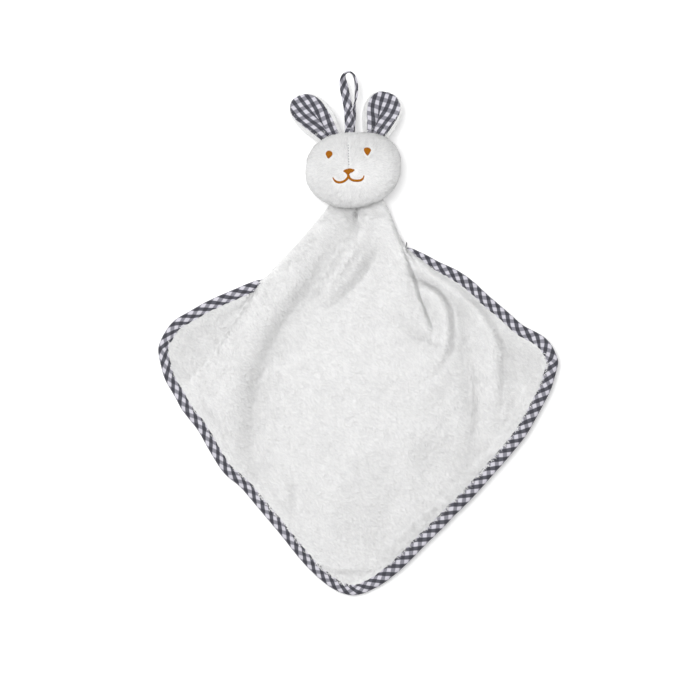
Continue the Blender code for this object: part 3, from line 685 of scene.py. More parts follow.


# Painted shade on the pile: darker bands in the hollows and beside the folds, listed like the folds
paintedShadeBands = (
    # under the roll, beside it, below the chin, and beside the short ridge
    ((0.1, 0.4, 0.6, 0.65, 0.65, 0.7, 0.75, 0.7, 0.6, 0.3), 14, 8,
     ((-5, 281), (-15, 254), (-28, 231), (-41, 212), (-54, 194), (-69, 173), (-82, 149), (-91, 122),
      (-96, 96), (-99, 66), (-91, 42))),
    ((0.6, 1, 0.8, 0.4), 7, 4, ((-6, 283), (-3, 268), (-6, 256))),
    ((0.6, 0.9, 0.5), 5, 5, ((-18, 280), (-10, 280), (-1, 276))),
    ((0.3, 0.9, 0.7, 0.5, 0.1), 4, 8, ((15, 250), (6, 233), (-4, 218), (-18, 202), (-29, 191))),
    # under the panel's tip and round the curled roll
    ((0, 0.3, 0.25, 0), 9, 5, ((30, 196), (46, 172), (61, 161), (80, 164))),
    ((0.9, 1, 0.8, 0.2), 2.5, 4, ((51, 217), (62, 211.5), (73, 206), (81, 198))),
    ((0, 0.5, 0.55, 0.4, 0.15), 2.5, 11, ((79, 206), (88, 194), (92, 178), (92, 160), (87, 142))),
    ((0, 0.3, 0.5, 0.55, 0.5, 0.2), 9, 4,
     ((92, 170), (99, 150), (103, 122), (104, 92), (102, 66), (99, 46))),
    ((0, 0.3, 0.25, 0), 8, 8, ((88, 150), (80, 124), (62, 103), (44, 84))),
    ((0, 0.2, 0.25, 0.1), 9, 9, ((92, 84), (74, 66), (56, 44), (40, 24))),
    # outside the long ridge, and on the right flap
    ((0, 0.4, 0.4, 0.4, 0), 3, 8, ((126, 182), (134, 152), (136, 118), (133, 84), (127, 66))),
    ((0.35, 0.35), 20, 22, ((150, 166), (158, 130))),
    # low down
    ((0, 0.2, 0.15, 0), 5, 8, ((-64, 45), (-60, 28), (-62, 12), (-60, -2))),
    ((0, 0.1, 0.1, 0), 6, 4, ((-96, 62), (-94, 50), (-86, 30), (-76, 14))),
    ((0.7, 0.9, 0.6), 2, 2, ((-22, -46), (-8, -47.5), (6, -46))),
    ((0.26, 0.26), 45, 45, ((-10, 15), (20, 5))),
    ((0.3, 0.3, 0.3), 26, 20, ((26, -38), (72, 4), (118, 56))),
    ((0.12, 0.12), 18, 18, ((58, 52), (84, 62))),
)


def paintedShadeOf(points):
    # How much painted shade the pile gets: 0 for none and 1 for the darkest
    x, y = points[:, :, 0].ravel(), points[:, :, 1].ravel()
    # The left flap is painted darker
    fromRim = besideLine(x, y, leftRim)[0]
    onFlap = (1 - smoothStep(fromRim, -3 * mm, -1 * mm)) * smoothStep(y, 118 * mm, 130 * mm)
    paintedShade = blanket["flapShade"] * onFlap * (x < -70 * mm)
    for shade in paintedShadeBands:
        paintedShade += bandOf(x, y, *shade)
    paintedShade += noiseAt(np.stack([x, y, 0 * x], axis=1), 16 * mm, 9) * 0.12
    return np.clip(paintedShade + 0.02, 0, 1)


clothPoints, clothFlat = drapeCloth()
blanketCloth = formSheet("blanketCloth", clothPoints, clothFlat, whitePlush)
# Painted shade for the cloth's pile, kept as an attribute
paintedShade = paintedShadeOf(clothPoints[::-1])
blanketCloth.data.attributes.new("paintedShade", "FLOAT", "POINT").data.foreach_set("value", paintedShade)
thicken(blanketCloth, blanket["thickness"])
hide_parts("blanket_cloth")
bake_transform(blanketCloth)
print("blanket cloth is draped")


binding = {
    "width": 8.5 * mm,           # folded
    "thickness": 0.7 * mm,
    "halfHeight": 2.0 * mm,      # from the cloth's middle to the tape's outside
    "fold": 1.6 * mm,            # how far it stands past the cloth's edge
    "pucker": 0.35 * mm,
    "puckerRun": 7.5 * mm,
    "leftTop": 214 * mm,         # where it comes out from under the roll on the left
    "rightTop": 243.5 * mm,      # and from under the neck on the right
    "onRight": 0.22,             # how much wider it lies on the right, where the hem curls up
    "pitches": (12.8 * mm, 12.8 * mm, 12.2 * mm, 11.4 * mm, 10.9 * mm, 11.0 * mm),
    "stitch": 2.6 * mm,
    "stitchGap": 0.9 * mm,
    "stitchInset": 1.5 * mm,
}


def boundEdge():
    # Stations along the cloth's edge, counter-clockwise from the neck, with inward and up directions
    rows, columns = clothPoints.shape[:2]
    first = int(np.argmax(clothPoints[:, 0, 1] < binding["leftTop"]))
    last = int(np.argmax(clothPoints[:, -1, 1] < binding["rightTop"]))
    pairs = [((row, 0), (row, 4)) for row in range(first, rows - 1)]
    pairs += [((rows - 1, column), (rows - 5, min(max(column, 4), columns - 5)))
              for column in range(columns)]
    pairs += [((row, columns - 1), (row, columns - 5)) for row in range(rows - 2, last, -1)]
    places = np.array([clothPoints[edge] for edge, _ in pairs])
    inner = np.array([clothPoints[inside] for _, inside in pairs])
    line = np.concatenate([places, unit(inner - places)], axis=1)
    walked = np.concatenate([[0], np.cumsum(np.linalg.norm(np.diff(places, axis=0), axis=1))])
    count = int(walked[-1] / (1.1 * mm))
    stops = np.linspace(0, walked[-1], count + 1)
    line = np.stack([np.interp(stops, walked, line[:, axis]) for axis in range(6)], axis=1)
    weights = np.hanning(13)
    weights /= weights.sum()
    padded = np.concatenate([line[:1].repeat(6, 0), line, line[-1:].repeat(6, 0)])
    line = np.stack([np.convolve(padded[:, axis], weights, "valid") for axis in range(6)], axis=1)
    along = unit(np.gradient(line[:, :3], axis=0))
    inward = line[:, 3:]
    inward = unit(inward - along * np.sum(inward * along, axis=1, keepdims=True))
    return line[:, :3], inward, np.cross(along, inward), stops


edgePlaces, edgeInward, edgeUp, edgeWalk = boundEdge()
edgePlaces[:, 2] = np.maximum(edgePlaces[:, 2], binding["halfHeight"] + 0.2 * mm)
# How far the tape lies on the cloth
tapeReach = ((binding["width"] - binding["fold"])
             * (1 + binding["onRight"] * smoothStep(edgePlaces[:, 0], -10 * mm, 50 * mm)
                * (1 - 0.7 * smoothStep(edgePlaces[:, 1], 150 * mm, 190 * mm))))


def bindingSection(station):
    # From the upper inner edge round the fold to the lower inner edge, as (inward, up)
    walked = edgeWalk[station]
    drift = 3 * noise.noise(Vector((walked * 40, 0, 0)))
    beat = math.sin(math.tau * walked / binding["puckerRun"] + drift)
    reach = tapeReach[station]
    edge = reach + 0.25 * mm * beat
    high = binding["halfHeight"]
    bulge = binding["pucker"] * beat
    seam = reach - binding["stitchInset"]
    upper = [(edge, high * 0.72), (seam, high * 0.62), (seam * 0.6, high + bulge * 0.8),
             (seam * 0.2, high * 1.05 + bulge), (-binding["fold"] * 0.55, high * 0.82)]
    turn = [(-binding["fold"], 0)]
    lower = [(-binding["fold"] * 0.55, -high * 0.82), (seam * 0.2, -high), (seam * 0.6, -high),
             (seam, -high * 0.62), (reach, -high * 0.72)]
    return smoothLine(upper + turn + lower, 3)


def edgeRepeats():
    # How many checks have passed at each station. They are longest beside the upper left edge.
    share = edgeWalk / edgeWalk[-1]
    pitch = np.interp(share, (0, 0.2, 0.3, 0.5, 0.7, 1), binding["pitches"])
    return np.concatenate([[0], np.cumsum(np.diff(edgeWalk) / pitch[1:])])


def foldBinding():
    sections = np.array([bindingSection(station) for station in range(len(edgePlaces))])
    places = (edgePlaces[:, None] + edgeInward[:, None] * sections[:, :, :1]
              + edgeUp[:, None] * sections[:, :, 1:])
    places[:, :, 2] = np.maximum(places[:, :, 2], 0.35 * mm)
    steps = np.linalg.norm(np.diff(sections, axis=1), axis=2).mean(axis=0)
    across = np.concatenate([[0], np.cumsum(steps)])
    # The tape is cut on the bias and pulled along its length, so its checks are longer than they are wide
    run = edgeRepeats()[:, None] * gingham["repeat"] * mm
    flat = np.stack([run - across, run + across], axis=2)
    # Rows go across the tape here, so that the outside faces up
    return np.swapaxes(places, 0, 1), np.swapaxes(flat, 0, 1)


tapePlaces, tapeFlat = foldBinding()
edgeBinding = formSheet("edgeBinding", tapePlaces[:, ::-1], tapeFlat[:, ::-1], cottonGingham)
thicken(edgeBinding, binding["thickness"], -1)
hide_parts("edge_binding")
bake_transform(edgeBinding)


def sewBinding():
    reach = (tapeReach - binding["stitchInset"])[:, None]
    high = binding["halfHeight"] * 0.62 + 0.12 * mm
    line = edgePlaces + edgeInward * reach + edgeUp * high
    ends = []
    beat = binding["stitch"] + binding["stitchGap"]
    for start in np.arange(3 * mm, edgeWalk[-1] - beat, beat):
        points = [[np.interp(stop, edgeWalk, line[:, axis]) for axis in range(3)]
                  for stop in (start, start + binding["stitch"])]
        up = [np.interp(start, edgeWalk, edgeUp[:, axis]) for axis in range(3)]
        ends.append((*points, up))
    return sewStitches("bindingStitches", ends, 0.28 * mm, greyThread)


bindingStitches = sewBinding()
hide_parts("binding_stitching")
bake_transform(bindingStitches)
print("binding is sewn on")


def growBlanketPile():
    # The blanket was brushed down to the right, and no pile shows under the tape or inside the neck
    across = np.diff(clothPoints, axis=1, prepend=clothPoints[:, :1])
    across = np.linalg.norm(across, axis=2).cumsum(axis=1)
    down = np.linalg.norm(np.diff(clothPoints, axis=0, prepend=clothPoints[:1]), axis=2).cumsum(axis=0)
    # Towards the lower right they would lie over the tape, so they stop short of it there
    onRight = clothPoints[:, :, 0] > -10 * mm
    gap = np.minimum.reduce([across, across[:, -1:] - across - 4.2 * mm,
                             down[-1:] - down - 5 * mm * onRight])
    gap = gap[::-1].ravel()
    spots = clothPoints[::-1].reshape(-1, 3)
    hidden = gap < binding["width"] - binding["fold"] - 0.4 * mm
    hidden |= spots[:, 1] > blanket["neckY"] + 3 * mm
    wisps = []
    for name, upper in (("blanketPileUpper", True), ("blanketPileLower", False)):
        weight = np.where(hidden | ((spots[:, 1] > blanket["pileSplit"]) != upper), 0.0, 1.0)
        piece = growPile(blanketCloth, name, blanket["wisps"], lambda roots: np.array([(0.75, -0.66, 0)]),
                         blanket["thickness"] / 2, weight)
        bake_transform(piece)
        wisps.append(piece)
    return wisps


blanketPile = growBlanketPile()
print("blanket has its pile")


head = {
    "middle": np.array((-1.8 * mm, 313.3 * mm, 18 * mm)),
    "halfWidth": 41.6 * mm,
    "halfHeight": 32.8 * mm,
    "shear": 0.05,               # how much higher its right side is than its left
    "puff": 2.5,                 # how flat its front is. 2 would be an ellipsoid.
    "frontDepth": 24 * mm,
    "backDepth": 18.5 * mm,
    "restFlat": 0.5 * mm,
    "crownFullness": 2.6,
    "chinFullness": 2.15,
    "plush": 2.2 * mm,
    "grooveDepth": 0.35 * mm,
    "grooveWidth": 1.8 * mm,
    "cuts": 40,
}
face = {
    "sideShift": -4.4 * mm,
    "rise": 1.8 * mm,
    "tilt": math.radians(4.0),
    # How much painted shade darkens the brow and the left cheek
    "browPaintedShade": 0.55,
    "cheekPaintedShade": 0.3,
}


def headOutline(angle):
    fullness = np.where(np.sin(angle) > 0, head["crownFullness"], head["chinFullness"])
    return (np.abs(np.cos(angle))**fullness + np.abs(np.sin(angle))**fullness)**(-1 / fullness)


def faceFlat(points):
    # Places measured right and up from the top of the nose, along the tilted face
    x, y = points[:, 0] - face["sideShift"], points[:, 1] - face["rise"]
    return np.stack([x * math.cos(face["tilt"]) + y * math.sin(face["tilt"]),
                     y * math.cos(face["tilt"]) - x * math.sin(face["tilt"])], axis=1)


def headRelief(points):
    # How far the stuffed skin stands in or out: seams pull it in, and the filling makes soft lumps
    right, up = faceFlat(points).T
    front = smoothStep(points[:, 2], 4 * mm, 12 * mm)
    seam = np.exp(-(right / head["grooveWidth"])**2) * front
    seam *= 0.35 + 0.65 * smoothStep(up, -2 * mm, 4 * mm)
    side = np.exp(-(points[:, 2] / (2.2 * mm))**2)
    lumps = noiseAt(points, 24 * mm, 3) * 0.7 * mm
    return lumps - head["grooveDepth"] * (seam + 0.6 * side)


def shapeHead(directions, inset=0):
    angle = np.arctan2(directions[:, 1], directions[:, 0])
    reach = headOutline(angle)
    depth = np.where(directions[:, 2] > 0, head["frontDepth"], head["backDepth"])
    puff = head["puff"]
    flatness = np.hypot(directions[:, 0], directions[:, 1])**puff + np.abs(directions[:, 2])**puff
    directions = directions * (flatness**(-1 / puff))[:, None]
    points = np.stack([directions[:, 0] * reach * (head["halfWidth"] - inset),
                       directions[:, 1] * reach * (head["halfHeight"] - inset),
                       directions[:, 2] * (depth - inset)], axis=1)
    points[:, 1] += points[:, 0] * head["shear"]
    outward = unit(points / np.array((head["halfWidth"], head["halfHeight"], head["frontDepth"]))**2)
    points += outward * headRelief(points)[:, None]
    points[:, 2] = np.maximum(points[:, 2], head["restFlat"] + inset - head["backDepth"])
    return points


def headBall(inset):
    bm = bmesh.new()
    bmesh.ops.create_cube(bm, size=2)
    bmesh.ops.subdivide_edges(bm, edges=bm.edges, cuts=head["cuts"], use_grid_fill=True)
    spots = np.array([vert.co for vert in bm.verts])
    # Tangents spread the cube's points evenly over the ball
    directions = unit(np.tan(spots * math.pi / 4))
    for vert, place in zip(bm.verts, shapeHead(directions, inset)):
        vert.co = place
    return bm


def facePlace(right, up):
    # The point of the face under a place on it, and the way out of the skin there
    def drop(x, y):
        level = y - x * head["shear"]
        right, up = x / head["halfWidth"], level / head["halfHeight"]
        share = math.hypot(right, up) / float(headOutline(np.array(math.atan2(up, right))))
        high = max(1 - share**head["puff"], 0)**(1 / head["puff"])
        flat = np.array([[x, y, head["frontDepth"] * high]])
        return float(flat[0, 2] + headRelief(flat)[0])

    x = face["sideShift"] + right * math.cos(face["tilt"]) - up * math.sin(face["tilt"])
    y = face["rise"] + right * math.sin(face["tilt"]) + up * math.cos(face["tilt"])
    step = 1 * mm
    out = Vector(((drop(x - step, y) - drop(x + step, y)) / (2 * step),
                  (drop(x, y - step) - drop(x, y + step)) / (2 * step), 1)).normalized()
    return Vector(head["middle"]) + Vector((x, y, drop(x, y))), out


def napFromNose(points):
    # The pile fans out from the nose, so its flat place is the turn round the nose and the way from it
    right, up = faceFlat(points).T
    behind = np.maximum(-points[:, 2], 0)
    away = np.hypot(right, up) + behind
    turn = np.arctan2(up, right)
    return np.stack([np.cos(turn) * 20 * mm, np.sin(turn) * 20 * mm, away], axis=1)


def sewPanel(name, cuts):
    bm = headBall(0)
    for place, normal in cuts:
        bmesh.ops.bisect_plane(bm, geom=bm.verts[:] + bm.edges[:] + bm.faces[:], plane_co=place,
                               plane_no=normal, clear_inner=True)
    mesh = meshFrom(name, bm)
    spots = np.array([vert.co for vert in mesh.vertices])
    setNap(mesh, napFromNose(spots))
    # Painted shade darkens the pile over the brow and the left cheek
    right, up = faceFlat(spots).T
    paintedShade = (face["browPaintedShade"] * smoothStep(up, -4 * mm, 24 * mm)
             + face["cheekPaintedShade"] * smoothStep(-right, -5 * mm, 28 * mm))
    mesh.attributes.new("paintedShade", "FLOAT", "POINT").data.foreach_set("value", paintedShade)
    mesh.transform(Matrix.Translation(head["middle"]))
    panel = finishPiece(name, mesh, whitePlush)
    thicken(panel, head["plush"], -1)
    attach(panel, "head")
    return panel


seamPlace = Vector((face["sideShift"], face["rise"], 0))
seamSide = Vector((math.cos(face["tilt"]), math.sin(face["tilt"]), 0))
frontSide = ((0, 0, 0), (0, 0, 1))
faceLeft = sewPanel("faceLeft", [frontSide, (seamPlace, -seamSide)])
faceRight = sewPanel("faceRight", [frontSide, (seamPlace, seamSide)])
headBack = sewPanel("headBack", [((0, 0, 0), (0, 0, -1))])
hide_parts("face_left_panel")
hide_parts("face_right_panel")
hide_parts("head_back_panel")


bm = headBall(head["plush"] + 0.4 * mm)
mesh = meshFrom("headFilling", bm)
mesh.transform(Matrix.Translation(head["middle"]))
headFilling = finishPiece("headFilling", mesh, fibreFilling)
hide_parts("head_filling")
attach(headFilling, "head")
print("head is stuffed")


thread = {"radius": 0.34 * mm, "pitch": 0.45 * mm, "lift": 0.6 * mm}
# Outlines and lines of the face in mm, right and up from the top of the nose
eyeOutlines = {
    "left": ((-16.4, 16.4), (-14.8, 15.7), (-13.6, 14.1), (-13.9, 12.1), (-15.5, 10.5), (-17.4, 9.2),
             (-18.7, 10.9), (-19.4, 13.2), (-19.1, 14.8), (-17.9, 16.1)),
    "right": ((15.1, 16.0), (17.3, 16.9), (19.5, 16.3), (20.9, 14.4), (20.1, 12.4), (19.0, 10.7),
              (17.7, 9.4), (16.1, 10.9), (15.2, 12.8), (14.8, 14.5)),
}
noseOutline = ((-5.0, -2.7), (-3.6, -1.6), (0.3, -0.6), (2.6, -1.0), (5.2, -2.4), (3.3, -4.5),
               (1.1, -5.3), (-0.3, -6.6), (-1.7, -6.4), (-3.3, -4.7), (-4.6, -3.6))
mouthLines = (
    ((-0.9, -6.4), (-0.8, -7.7), (-2.0, -9.7), (-4.3, -11.6), (-6.6, -12.4), (-9.3, -12.6),
     (-11.8, -11.8), (-13.4, -10.2), (-14.6, -8.1)),
    ((-0.9, -6.4), (-0.5, -7.8), (0.4, -9.7), (2.4, -11.3), (5.0, -12.1), (7.6, -12.3),
     (10.2, -12.0), (12.1, -10.7), (13.2, -8.4)),
)
mouthStroke = 2.3 * mm
foreheadSeam = {"line": ((1.1, 20.5), (0.9, 12.3), (0.4, 0.2)), "length": 20.3 * mm, "pitch": 2.4 * mm,
                "lift": 0.3 * mm, "radius": 0.42 * mm}


def onFace(right, up, lift):
    place, out = facePlace(right, up)
    return place + out * lift, out


sewnSpans = []


def satinPatch(name, spans, lift=thread["lift"]):
    # Long stitches side by side, each from one edge of the patch to the other
    sewnSpans.extend(spans)
    ends = []
    for (fromRight, fromUp), (toRight, toUp) in spans:
        start, out = onFace(fromRight, fromUp, lift * 0.5)
        end, _ = onFace(toRight, toUp, lift * 0.5)
        ends.append((start, end, out))
    patch = sewStitches(name, ends, thread["radius"], brownThread, 1.7)
    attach(patch, "head")
    return patch


def satinSpans(outline, slant=0.06, beyond=0):
    # Upright lines through an outline and a little beyond, as the embroidery machine fills it
    corners = smoothLine([*outline, outline[0]], 5) * mm
    sheared = corners[:, 0] - slant * corners[:, 1]
    spans = []
    for offset in np.arange(sheared.min() + thread["pitch"] / 2, sheared.max(), thread["pitch"]):
        crossed = []
        for here, (start, end) in zip(zip(sheared, sheared[1:]), zip(corners, corners[1:])):
            if (here[0] - offset) * (here[1] - offset) < 0:
                crossed.append(start + (end - start) * (offset - here[0]) / (here[1] - here[0]))
        if len(crossed) > 1:
            low = min(crossed, key=lambda place: place[1])
            high = max(crossed, key=lambda place: place[1])
            spans.append(((low[0], low[1] - beyond), (high[0], high[1] + beyond)))
    return spans


def mouthSpans():
    # Short slanting stitches over the stem and along both curves, narrower at the ends
    spans = []
    for line in mouthLines:
        route = smoothLine(np.array(line) * mm, 8)
        length = np.linalg.norm(np.diff(route, axis=0), axis=1).sum()
        route = spacedLine(route, int(length / thread["pitch"]))
        ahead = unit(np.gradient(route, axis=0))
        across = unit(np.stack([-ahead[:, 1], ahead[:, 0]], axis=1) * 0.9 + ahead * 0.5)
        share = np.linspace(0, 1, len(route))
        reach = mouthStroke / 2 * (1.15 - 0.65 * smoothStep(share, 0.75, 1))
        for place, way, half in zip(route, across, reach):
            spans.append((tuple(place - way * half), tuple(place + way * half)))
    return spans


leftEye = satinPatch("leftEye", satinSpans(eyeOutlines["left"], beyond=0.3 * mm))
rightEye = satinPatch("rightEye", satinSpans(eyeOutlines["right"], beyond=0.3 * mm))
noseStitches = satinPatch("noseStitches", satinSpans(noseOutline))
mouthStitches = satinPatch("mouthStitches", mouthSpans(), thread["lift"] * 0.7)
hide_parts("left_eye")
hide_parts("right_eye")
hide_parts("nose")
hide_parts("mouth")

ends = []
seamLine = smoothLine(np.array(foreheadSeam["line"]) * mm, 12)
# Each stitch takes two of four steps, and the pitch all four
seamLine = spacedLine(seamLine, int(foreheadSeam["length"] / foreheadSeam["pitch"] * 4))
for start, end in zip(seamLine[:-3:4], seamLine[2::4]):
    high, out = onFace(*start, foreheadSeam["lift"])
    low, _ = onFace(*end, foreheadSeam["lift"])
    ends.append((high, low, out))
    sewnSpans.append((tuple(start), tuple(end)))
seamStitches = sewStitches("seamStitches", ends, foreheadSeam["radius"], greyThread)
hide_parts("face_seam_thread")
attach(seamStitches, "head")
print("face is embroidered")


def awayFromNose(roots):
    spots = roots - head["middle"]
    right, up = spots[:, 0] - face["sideShift"], spots[:, 1] - face["rise"]
    return np.stack([right, up, np.minimum(spots[:, 2], 0)], axis=1)


def sewnSpots():
    # Where the embroidery presses the pile down
    spots = []
    for start, end in sewnSpans:
        for share in np.linspace(0, 1, 2 + int(math.dist(start, end) / (0.8 * mm))):
            spots.append(facePlace(*(np.array(start) + (np.array(end) - start) * share))[0])
    return np.array(spots)


clear = sewnSpots()
for panel, name, count, pressed in ((faceLeft, "faceLeftPile", 13000, clear),
                                    (faceRight, "faceRightPile", 14000, clear),
                                    (headBack, "headBackPile", 9000, None)):
    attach(growPile(panel, name, count, awayFromNose, scale=0.85, clear=pressed), "head")
print("head has its pile")


ears = {
    "left": {"angle": 122.5, "length": 46.2 * mm, "lean": 13, "shift": 2.6 * mm, "sink": 1.6 * mm,
             "phase": 4 * mm, "pleatAt": 0.12,
             "borders": ((6.5, 4.0, 0.8, 0.3, 0.3), (3.0, 3.0, 2.8, 1.2, 0.4))},
    "right": {"angle": 58.5, "length": 41.6 * mm, "lean": 0, "shift": -3.8 * mm, "sink": 3 * mm,
              "phase": 0, "pleatAt": -0.12,
              "borders": ((6.5, 4.5, 2.2, 1.0, 0.4), (5.0, 3.5, 1.2, 0.5, 0.3))},
    "borderShares": (0, 0.3, 0.6, 0.85, 1),  # where along the ear the plush shows this many mm
    "tipBorder": 0.5 * mm,
    "halfWidth": 16.8 * mm,
    "baseHalfWidth": 11 * mm,
    "backThickness": 2.0 * mm,
    "liningThickness": 0.7 * mm,
    "liningWidth": 39 * mm,      # before it is pleated
    "cup": 3 * mm,
    "pleatDepth": 4.2 * mm,
    "pleatWidth": 2.4 * mm,
    "tipDrop": 8 * mm,
    "wisps": 2500,
    "widestShare": 0.57,
    "rows": 56,
    "columns": 56,
}


def headEdge(angle):
    reach = float(headOutline(np.array(angle)))
    x, y = head["halfWidth"] * reach * math.cos(angle), head["halfHeight"] * reach * math.sin(angle)
    return Vector((x, y + x * head["shear"], 0))


def crownFrame(angle, standOff):
    # Where a piece is sewn into the crown, with its own right, up and out of the face
    tangent = (headEdge(angle - 0.01) - headEdge(angle + 0.01)).normalized()
    outward = Vector((-tangent.y, tangent.x, 0))
    place = Vector(head["middle"]) + headEdge(angle) + outward * standOff
    return Matrix.Translation(place) @ Matrix.Rotation(math.atan2(tangent.y, tangent.x), 4, "Z")


def earSheet(ear, isLining):
    length, half, base = ear["length"], ears["halfWidth"], ears["baseHalfWidth"]
    along = np.sin(math.pi / 2 * np.linspace(0, 1, ears["rows"] + 1))
    along[-1] = 0.9995
    y = (length - ears["tipBorder"]) * along if isLining else length * along
    reach = y / length
    swell = np.sin(math.pi / 2 * np.clip(reach / ears["widestShare"], 0, 1))
    share = np.clip((reach - ears["widestShare"]) / (1 - ears["widestShare"]), 0, 1)
    width = np.where(reach < ears["widestShare"], base + (half - base) * swell,
                     half * np.sqrt(1 - share**2.4))
    left, right = width, width
    if isLining:
        near = width / half
        borders = [np.interp(reach, ears["borderShares"], border) * mm for border in ear["borders"]]
        left, right = (np.maximum(width - border * near, 0.2 * mm) for border in borders)
    else:
        # The plush goes on below the base line, into the seam of the crown
        y = np.concatenate([[-1.1 * mm], y])
        left, right = (np.concatenate([side[:1], side]) for side in (left, right))
    run = np.linspace(-1, 1, ears["columns"] + 1)[None]
    x = np.where(run < 0, left[:, None], right[:, None]) * run
    y = np.repeat(y[:, None], run.shape[1], axis=1)
    pleatPlace = ear["pleatAt"] * half

    def height(x, y):
        reach = np.maximum(y, 0) / length
        cup = ears["cup"] * (x / half)**2
        spread = ears["pleatWidth"] * (0.55 + reach * 1.6)
        pleat = np.exp(-((x - pleatPlace) / spread)**2) * np.clip(1 - reach * 1.25, 0, 1)
        pleat *= ears["pleatDepth"]
        return (cup - pleat) * np.minimum(reach / 0.25, 1) - ears["tipDrop"] * reach**2

    step = 0.3 * mm
    out = unit(np.stack([(height(x - step, y) - height(x + step, y)) / (2 * step),
                         (height(x, y - step) - height(x, y + step)) / (2 * step),
                         np.ones_like(x)], axis=2))
    rim = smoothStep(np.maximum(np.abs(run), np.maximum(y, 0) / length), 0.86, 1)
    # The lining lies on the plush, and closer to it at the rim
    lift = (ears["backThickness"] + ears["liningThickness"]) / 2 + 0.2 * mm - rim * 0.25 * mm
    lean = math.tan(-math.radians(ear["lean"]))
    places = np.stack([x + y * lean, y, height(x, y)], axis=2) + out * lift[..., None] * isLining
    if not isLining:
        return places[::-1], np.stack([x, 0 * x, y], axis=2)[::-1]
    # What the pleat hides is the lining's width less what shows of it
    shown = (left + right)[:, None] * 1.15
    hidden = np.clip(ears["liningWidth"] - shown, 0, None) / 2
    hidden *= (1 - smoothStep(reach, 0.35, 0.8))[:, None]
    weft = x * 1.15 + hidden * np.tanh((x - pleatPlace) / (1.5 * mm))
    return places[::-1], np.stack([weft + ear["phase"], y * 1.05], axis=2)[::-1]


def sewEar(side):
    ear = ears[side]
    place = crownFrame(math.radians(ear["angle"]), 0.5 * mm)
    place = place @ Matrix.Translation((ear["shift"], -ear["sink"], 0))
    layers = (("Back", "white_plush", whitePlush, ears["backThickness"]),
              ("Lining", "grey_gingham", cottonGingham, ears["liningThickness"]))
    for layer, slot, material, thickness in layers:
        places, flat = earSheet(ear, layer == "Lining")
        piece = formSheet(side + "Ear" + layer, places, flat, material)
        piece.data.transform(place)
        thicken(piece, thickness)
        if layer == "Back":
            # The wisps show round the lining and beyond the edge
            run = np.abs(np.linspace(-1, 1, places.shape[1]))[None]
            rise = np.linspace(1, 0, places.shape[0])[:, None]
            weight = smoothStep(np.maximum(run + 0 * rise, rise + 0 * run), 0.8, 0.9).ravel()
            turn = place.to_3x3() @ Vector((0, 1, 0.2))
            wisps = growPile(piece, side + "EarPile", ears["wisps"], lambda roots: np.array([turn]),
                             thickness / 2, weight, 0.6)
            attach(wisps, side + "_ear")
        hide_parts(side + "_ear_" + layer.lower())
        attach(piece, side + "_ear")


sewEar("left")
sewEar("right")
print("ears are sewn on")


loop = {
    "angle": 94.5,
    "length": 55 * mm,
    "lean": 3.2,
    "halfWidth": 7.2 * mm,
    "width": 7.8 * mm,
    "thickness": 0.9 * mm,
    "topDrop": 6 * mm,
    "root": 1.25 * mm,
    "pitch": 12.9 * mm,
    "pitchAcross": 7.6 * mm,
}
loopRoute = (
    ((-0.05, 0.00), 0), ((-0.08, 0.18), 0), ((-0.20, 0.40), 0), ((-0.46, 0.58), 4), ((-0.70, 0.74), 16),
    ((-0.76, 0.87), 52), ((-0.54, 0.955), 80), ((-0.06, 0.99), 88), ((0.44, 0.95), 84), ((0.76, 0.86), 76),
    ((0.88, 0.72), 73), ((0.80, 0.56), 78), ((0.55, 0.39), 112), ((0.22, 0.20), 162), ((0.08, 0.00), 180),
)


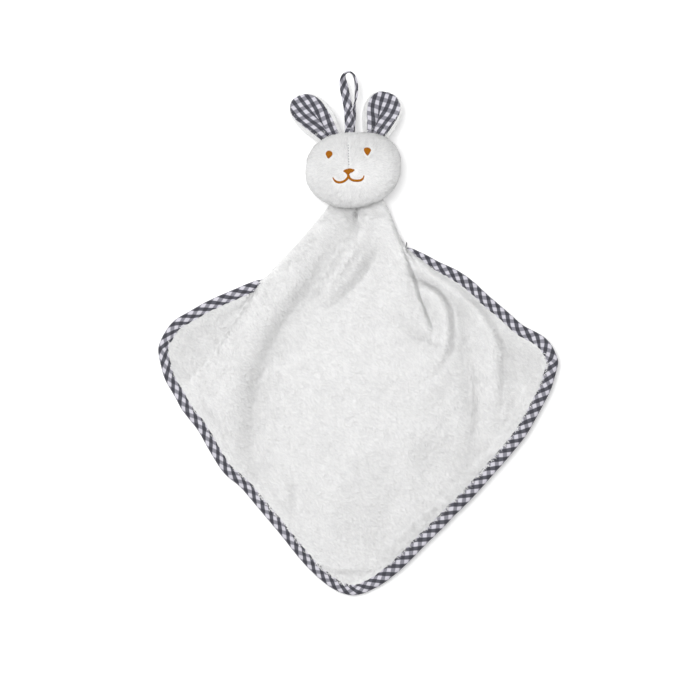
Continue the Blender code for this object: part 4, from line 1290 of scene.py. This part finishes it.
def twistLoop():
    route = []
    for index, ((right, out), turn) in enumerate(loopRoute):
        side = 1 - 2 * index / (len(loopRoute) - 1)
        route.append((right * loop["halfWidth"], out * loop["length"],
                      side * 0.7 * mm - out**2 * loop["topDrop"], math.radians(turn)))
    line = smoothLine(route, 10)
    first, last = line[0].copy(), line[-1].copy()
    first[1] = last[1] = -loop["root"]
    first[2], last[2] = 0.4 * mm, -0.4 * mm
    line = np.concatenate([[first], line, [last]])
    along = unit(np.gradient(line[:, :3], axis=0))
    flatWay = unit(np.cross((0, 0, 1), along))
    turn = line[:, 3:]
    wide = flatWay * np.cos(turn) + np.cross(along, flatWay) * np.sin(turn)
    out = np.cross(along, wide)
    across = np.linspace(-1, 1, 11)
    bow = (1 - across**2) * 0.5 * mm
    places = (line[:, None, :3] + wide[:, None] * across[None, :, None] * loop["width"] / 2
              + out[:, None] * bow[None, :, None])
    walked = np.concatenate([[0], np.cumsum(np.linalg.norm(np.diff(line[:, :3], axis=0), axis=1))])
    # This bias tape is pulled even longer than the binding
    run = walked[:, None] * gingham["repeat"] * mm / loop["pitch"]
    side = across[None] * loop["width"] / 2 * gingham["repeat"] * mm / loop["pitchAcross"]
    return places[::-1], np.stack([run + side, run - side], axis=2)[::-1]


loopFrame = crownFrame(math.radians(loop["angle"]), loop["root"] + 0.3 * mm)
loopFrame = loopFrame @ Matrix.Rotation(-math.radians(loop["lean"]), 4, "Z")
places, flat = twistLoop()
hangingLoop = formSheet("hangingLoop", places, flat, cottonGingham)
hangingLoop.data.transform(loopFrame)
thicken(hangingLoop, loop["thickness"])
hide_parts("hanging_loop")
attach(hangingLoop, "loop")

# Zigzag over both tape ends
tack = {"stitches": 9, "start": -2.6 * mm, "pitch": 0.65 * mm, "slant": 0.5 * mm, "from": 2.5 * mm,
        "to": 4.1 * mm, "height": 1.75 * mm, "radius": 0.33 * mm}
ends = []
for step in range(tack["stitches"]):
    side = tack["start"] + step * tack["pitch"]
    low = (side, tack["from"], tack["height"])
    high = (side + tack["slant"], tack["to"], tack["height"])
    pair = (low, high) if step % 2 else (high, low)
    ends.append((loopFrame @ Vector(pair[0]), loopFrame @ Vector(pair[1]), (0, 0, 1)))
barTack = sewStitches("barTack", ends, tack["radius"], greyThread)
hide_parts("loop_bar_tack")
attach(barTack, "loop")

# Hand stitches that close the neck under the chin
closing = {
    "reach": 23 * mm,
    "pitch": 3.2 * mm,
    "behind": -0.55,             # as a share of the depth of the head's back
    "ends": (Vector((-0.9, -0.4, -0.8)) * mm, Vector((0.9, -0.4, 0.8)) * mm),
    "radius": 0.3 * mm,
}
ends = []
for right in np.arange(-closing["reach"], closing["reach"], closing["pitch"]):
    x = right - head["middle"][0]
    across, behind = x / head["halfWidth"], closing["behind"]
    edge = headEdge(math.atan2(-math.sqrt(max(1 - across**2, 0)), across))
    place = Vector((edge.x, edge.y * math.sqrt(1 - behind**2), behind * head["backDepth"]))
    place += Vector(head["middle"])
    ends.append((place + closing["ends"][0], place + closing["ends"][1], (0, -1, -0.4)))
closingStitches = sewStitches("closingStitches", ends, closing["radius"], greyThread)
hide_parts("neck_closing_stitch")
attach(closingStitches, "head")
print("loop is sewn on")
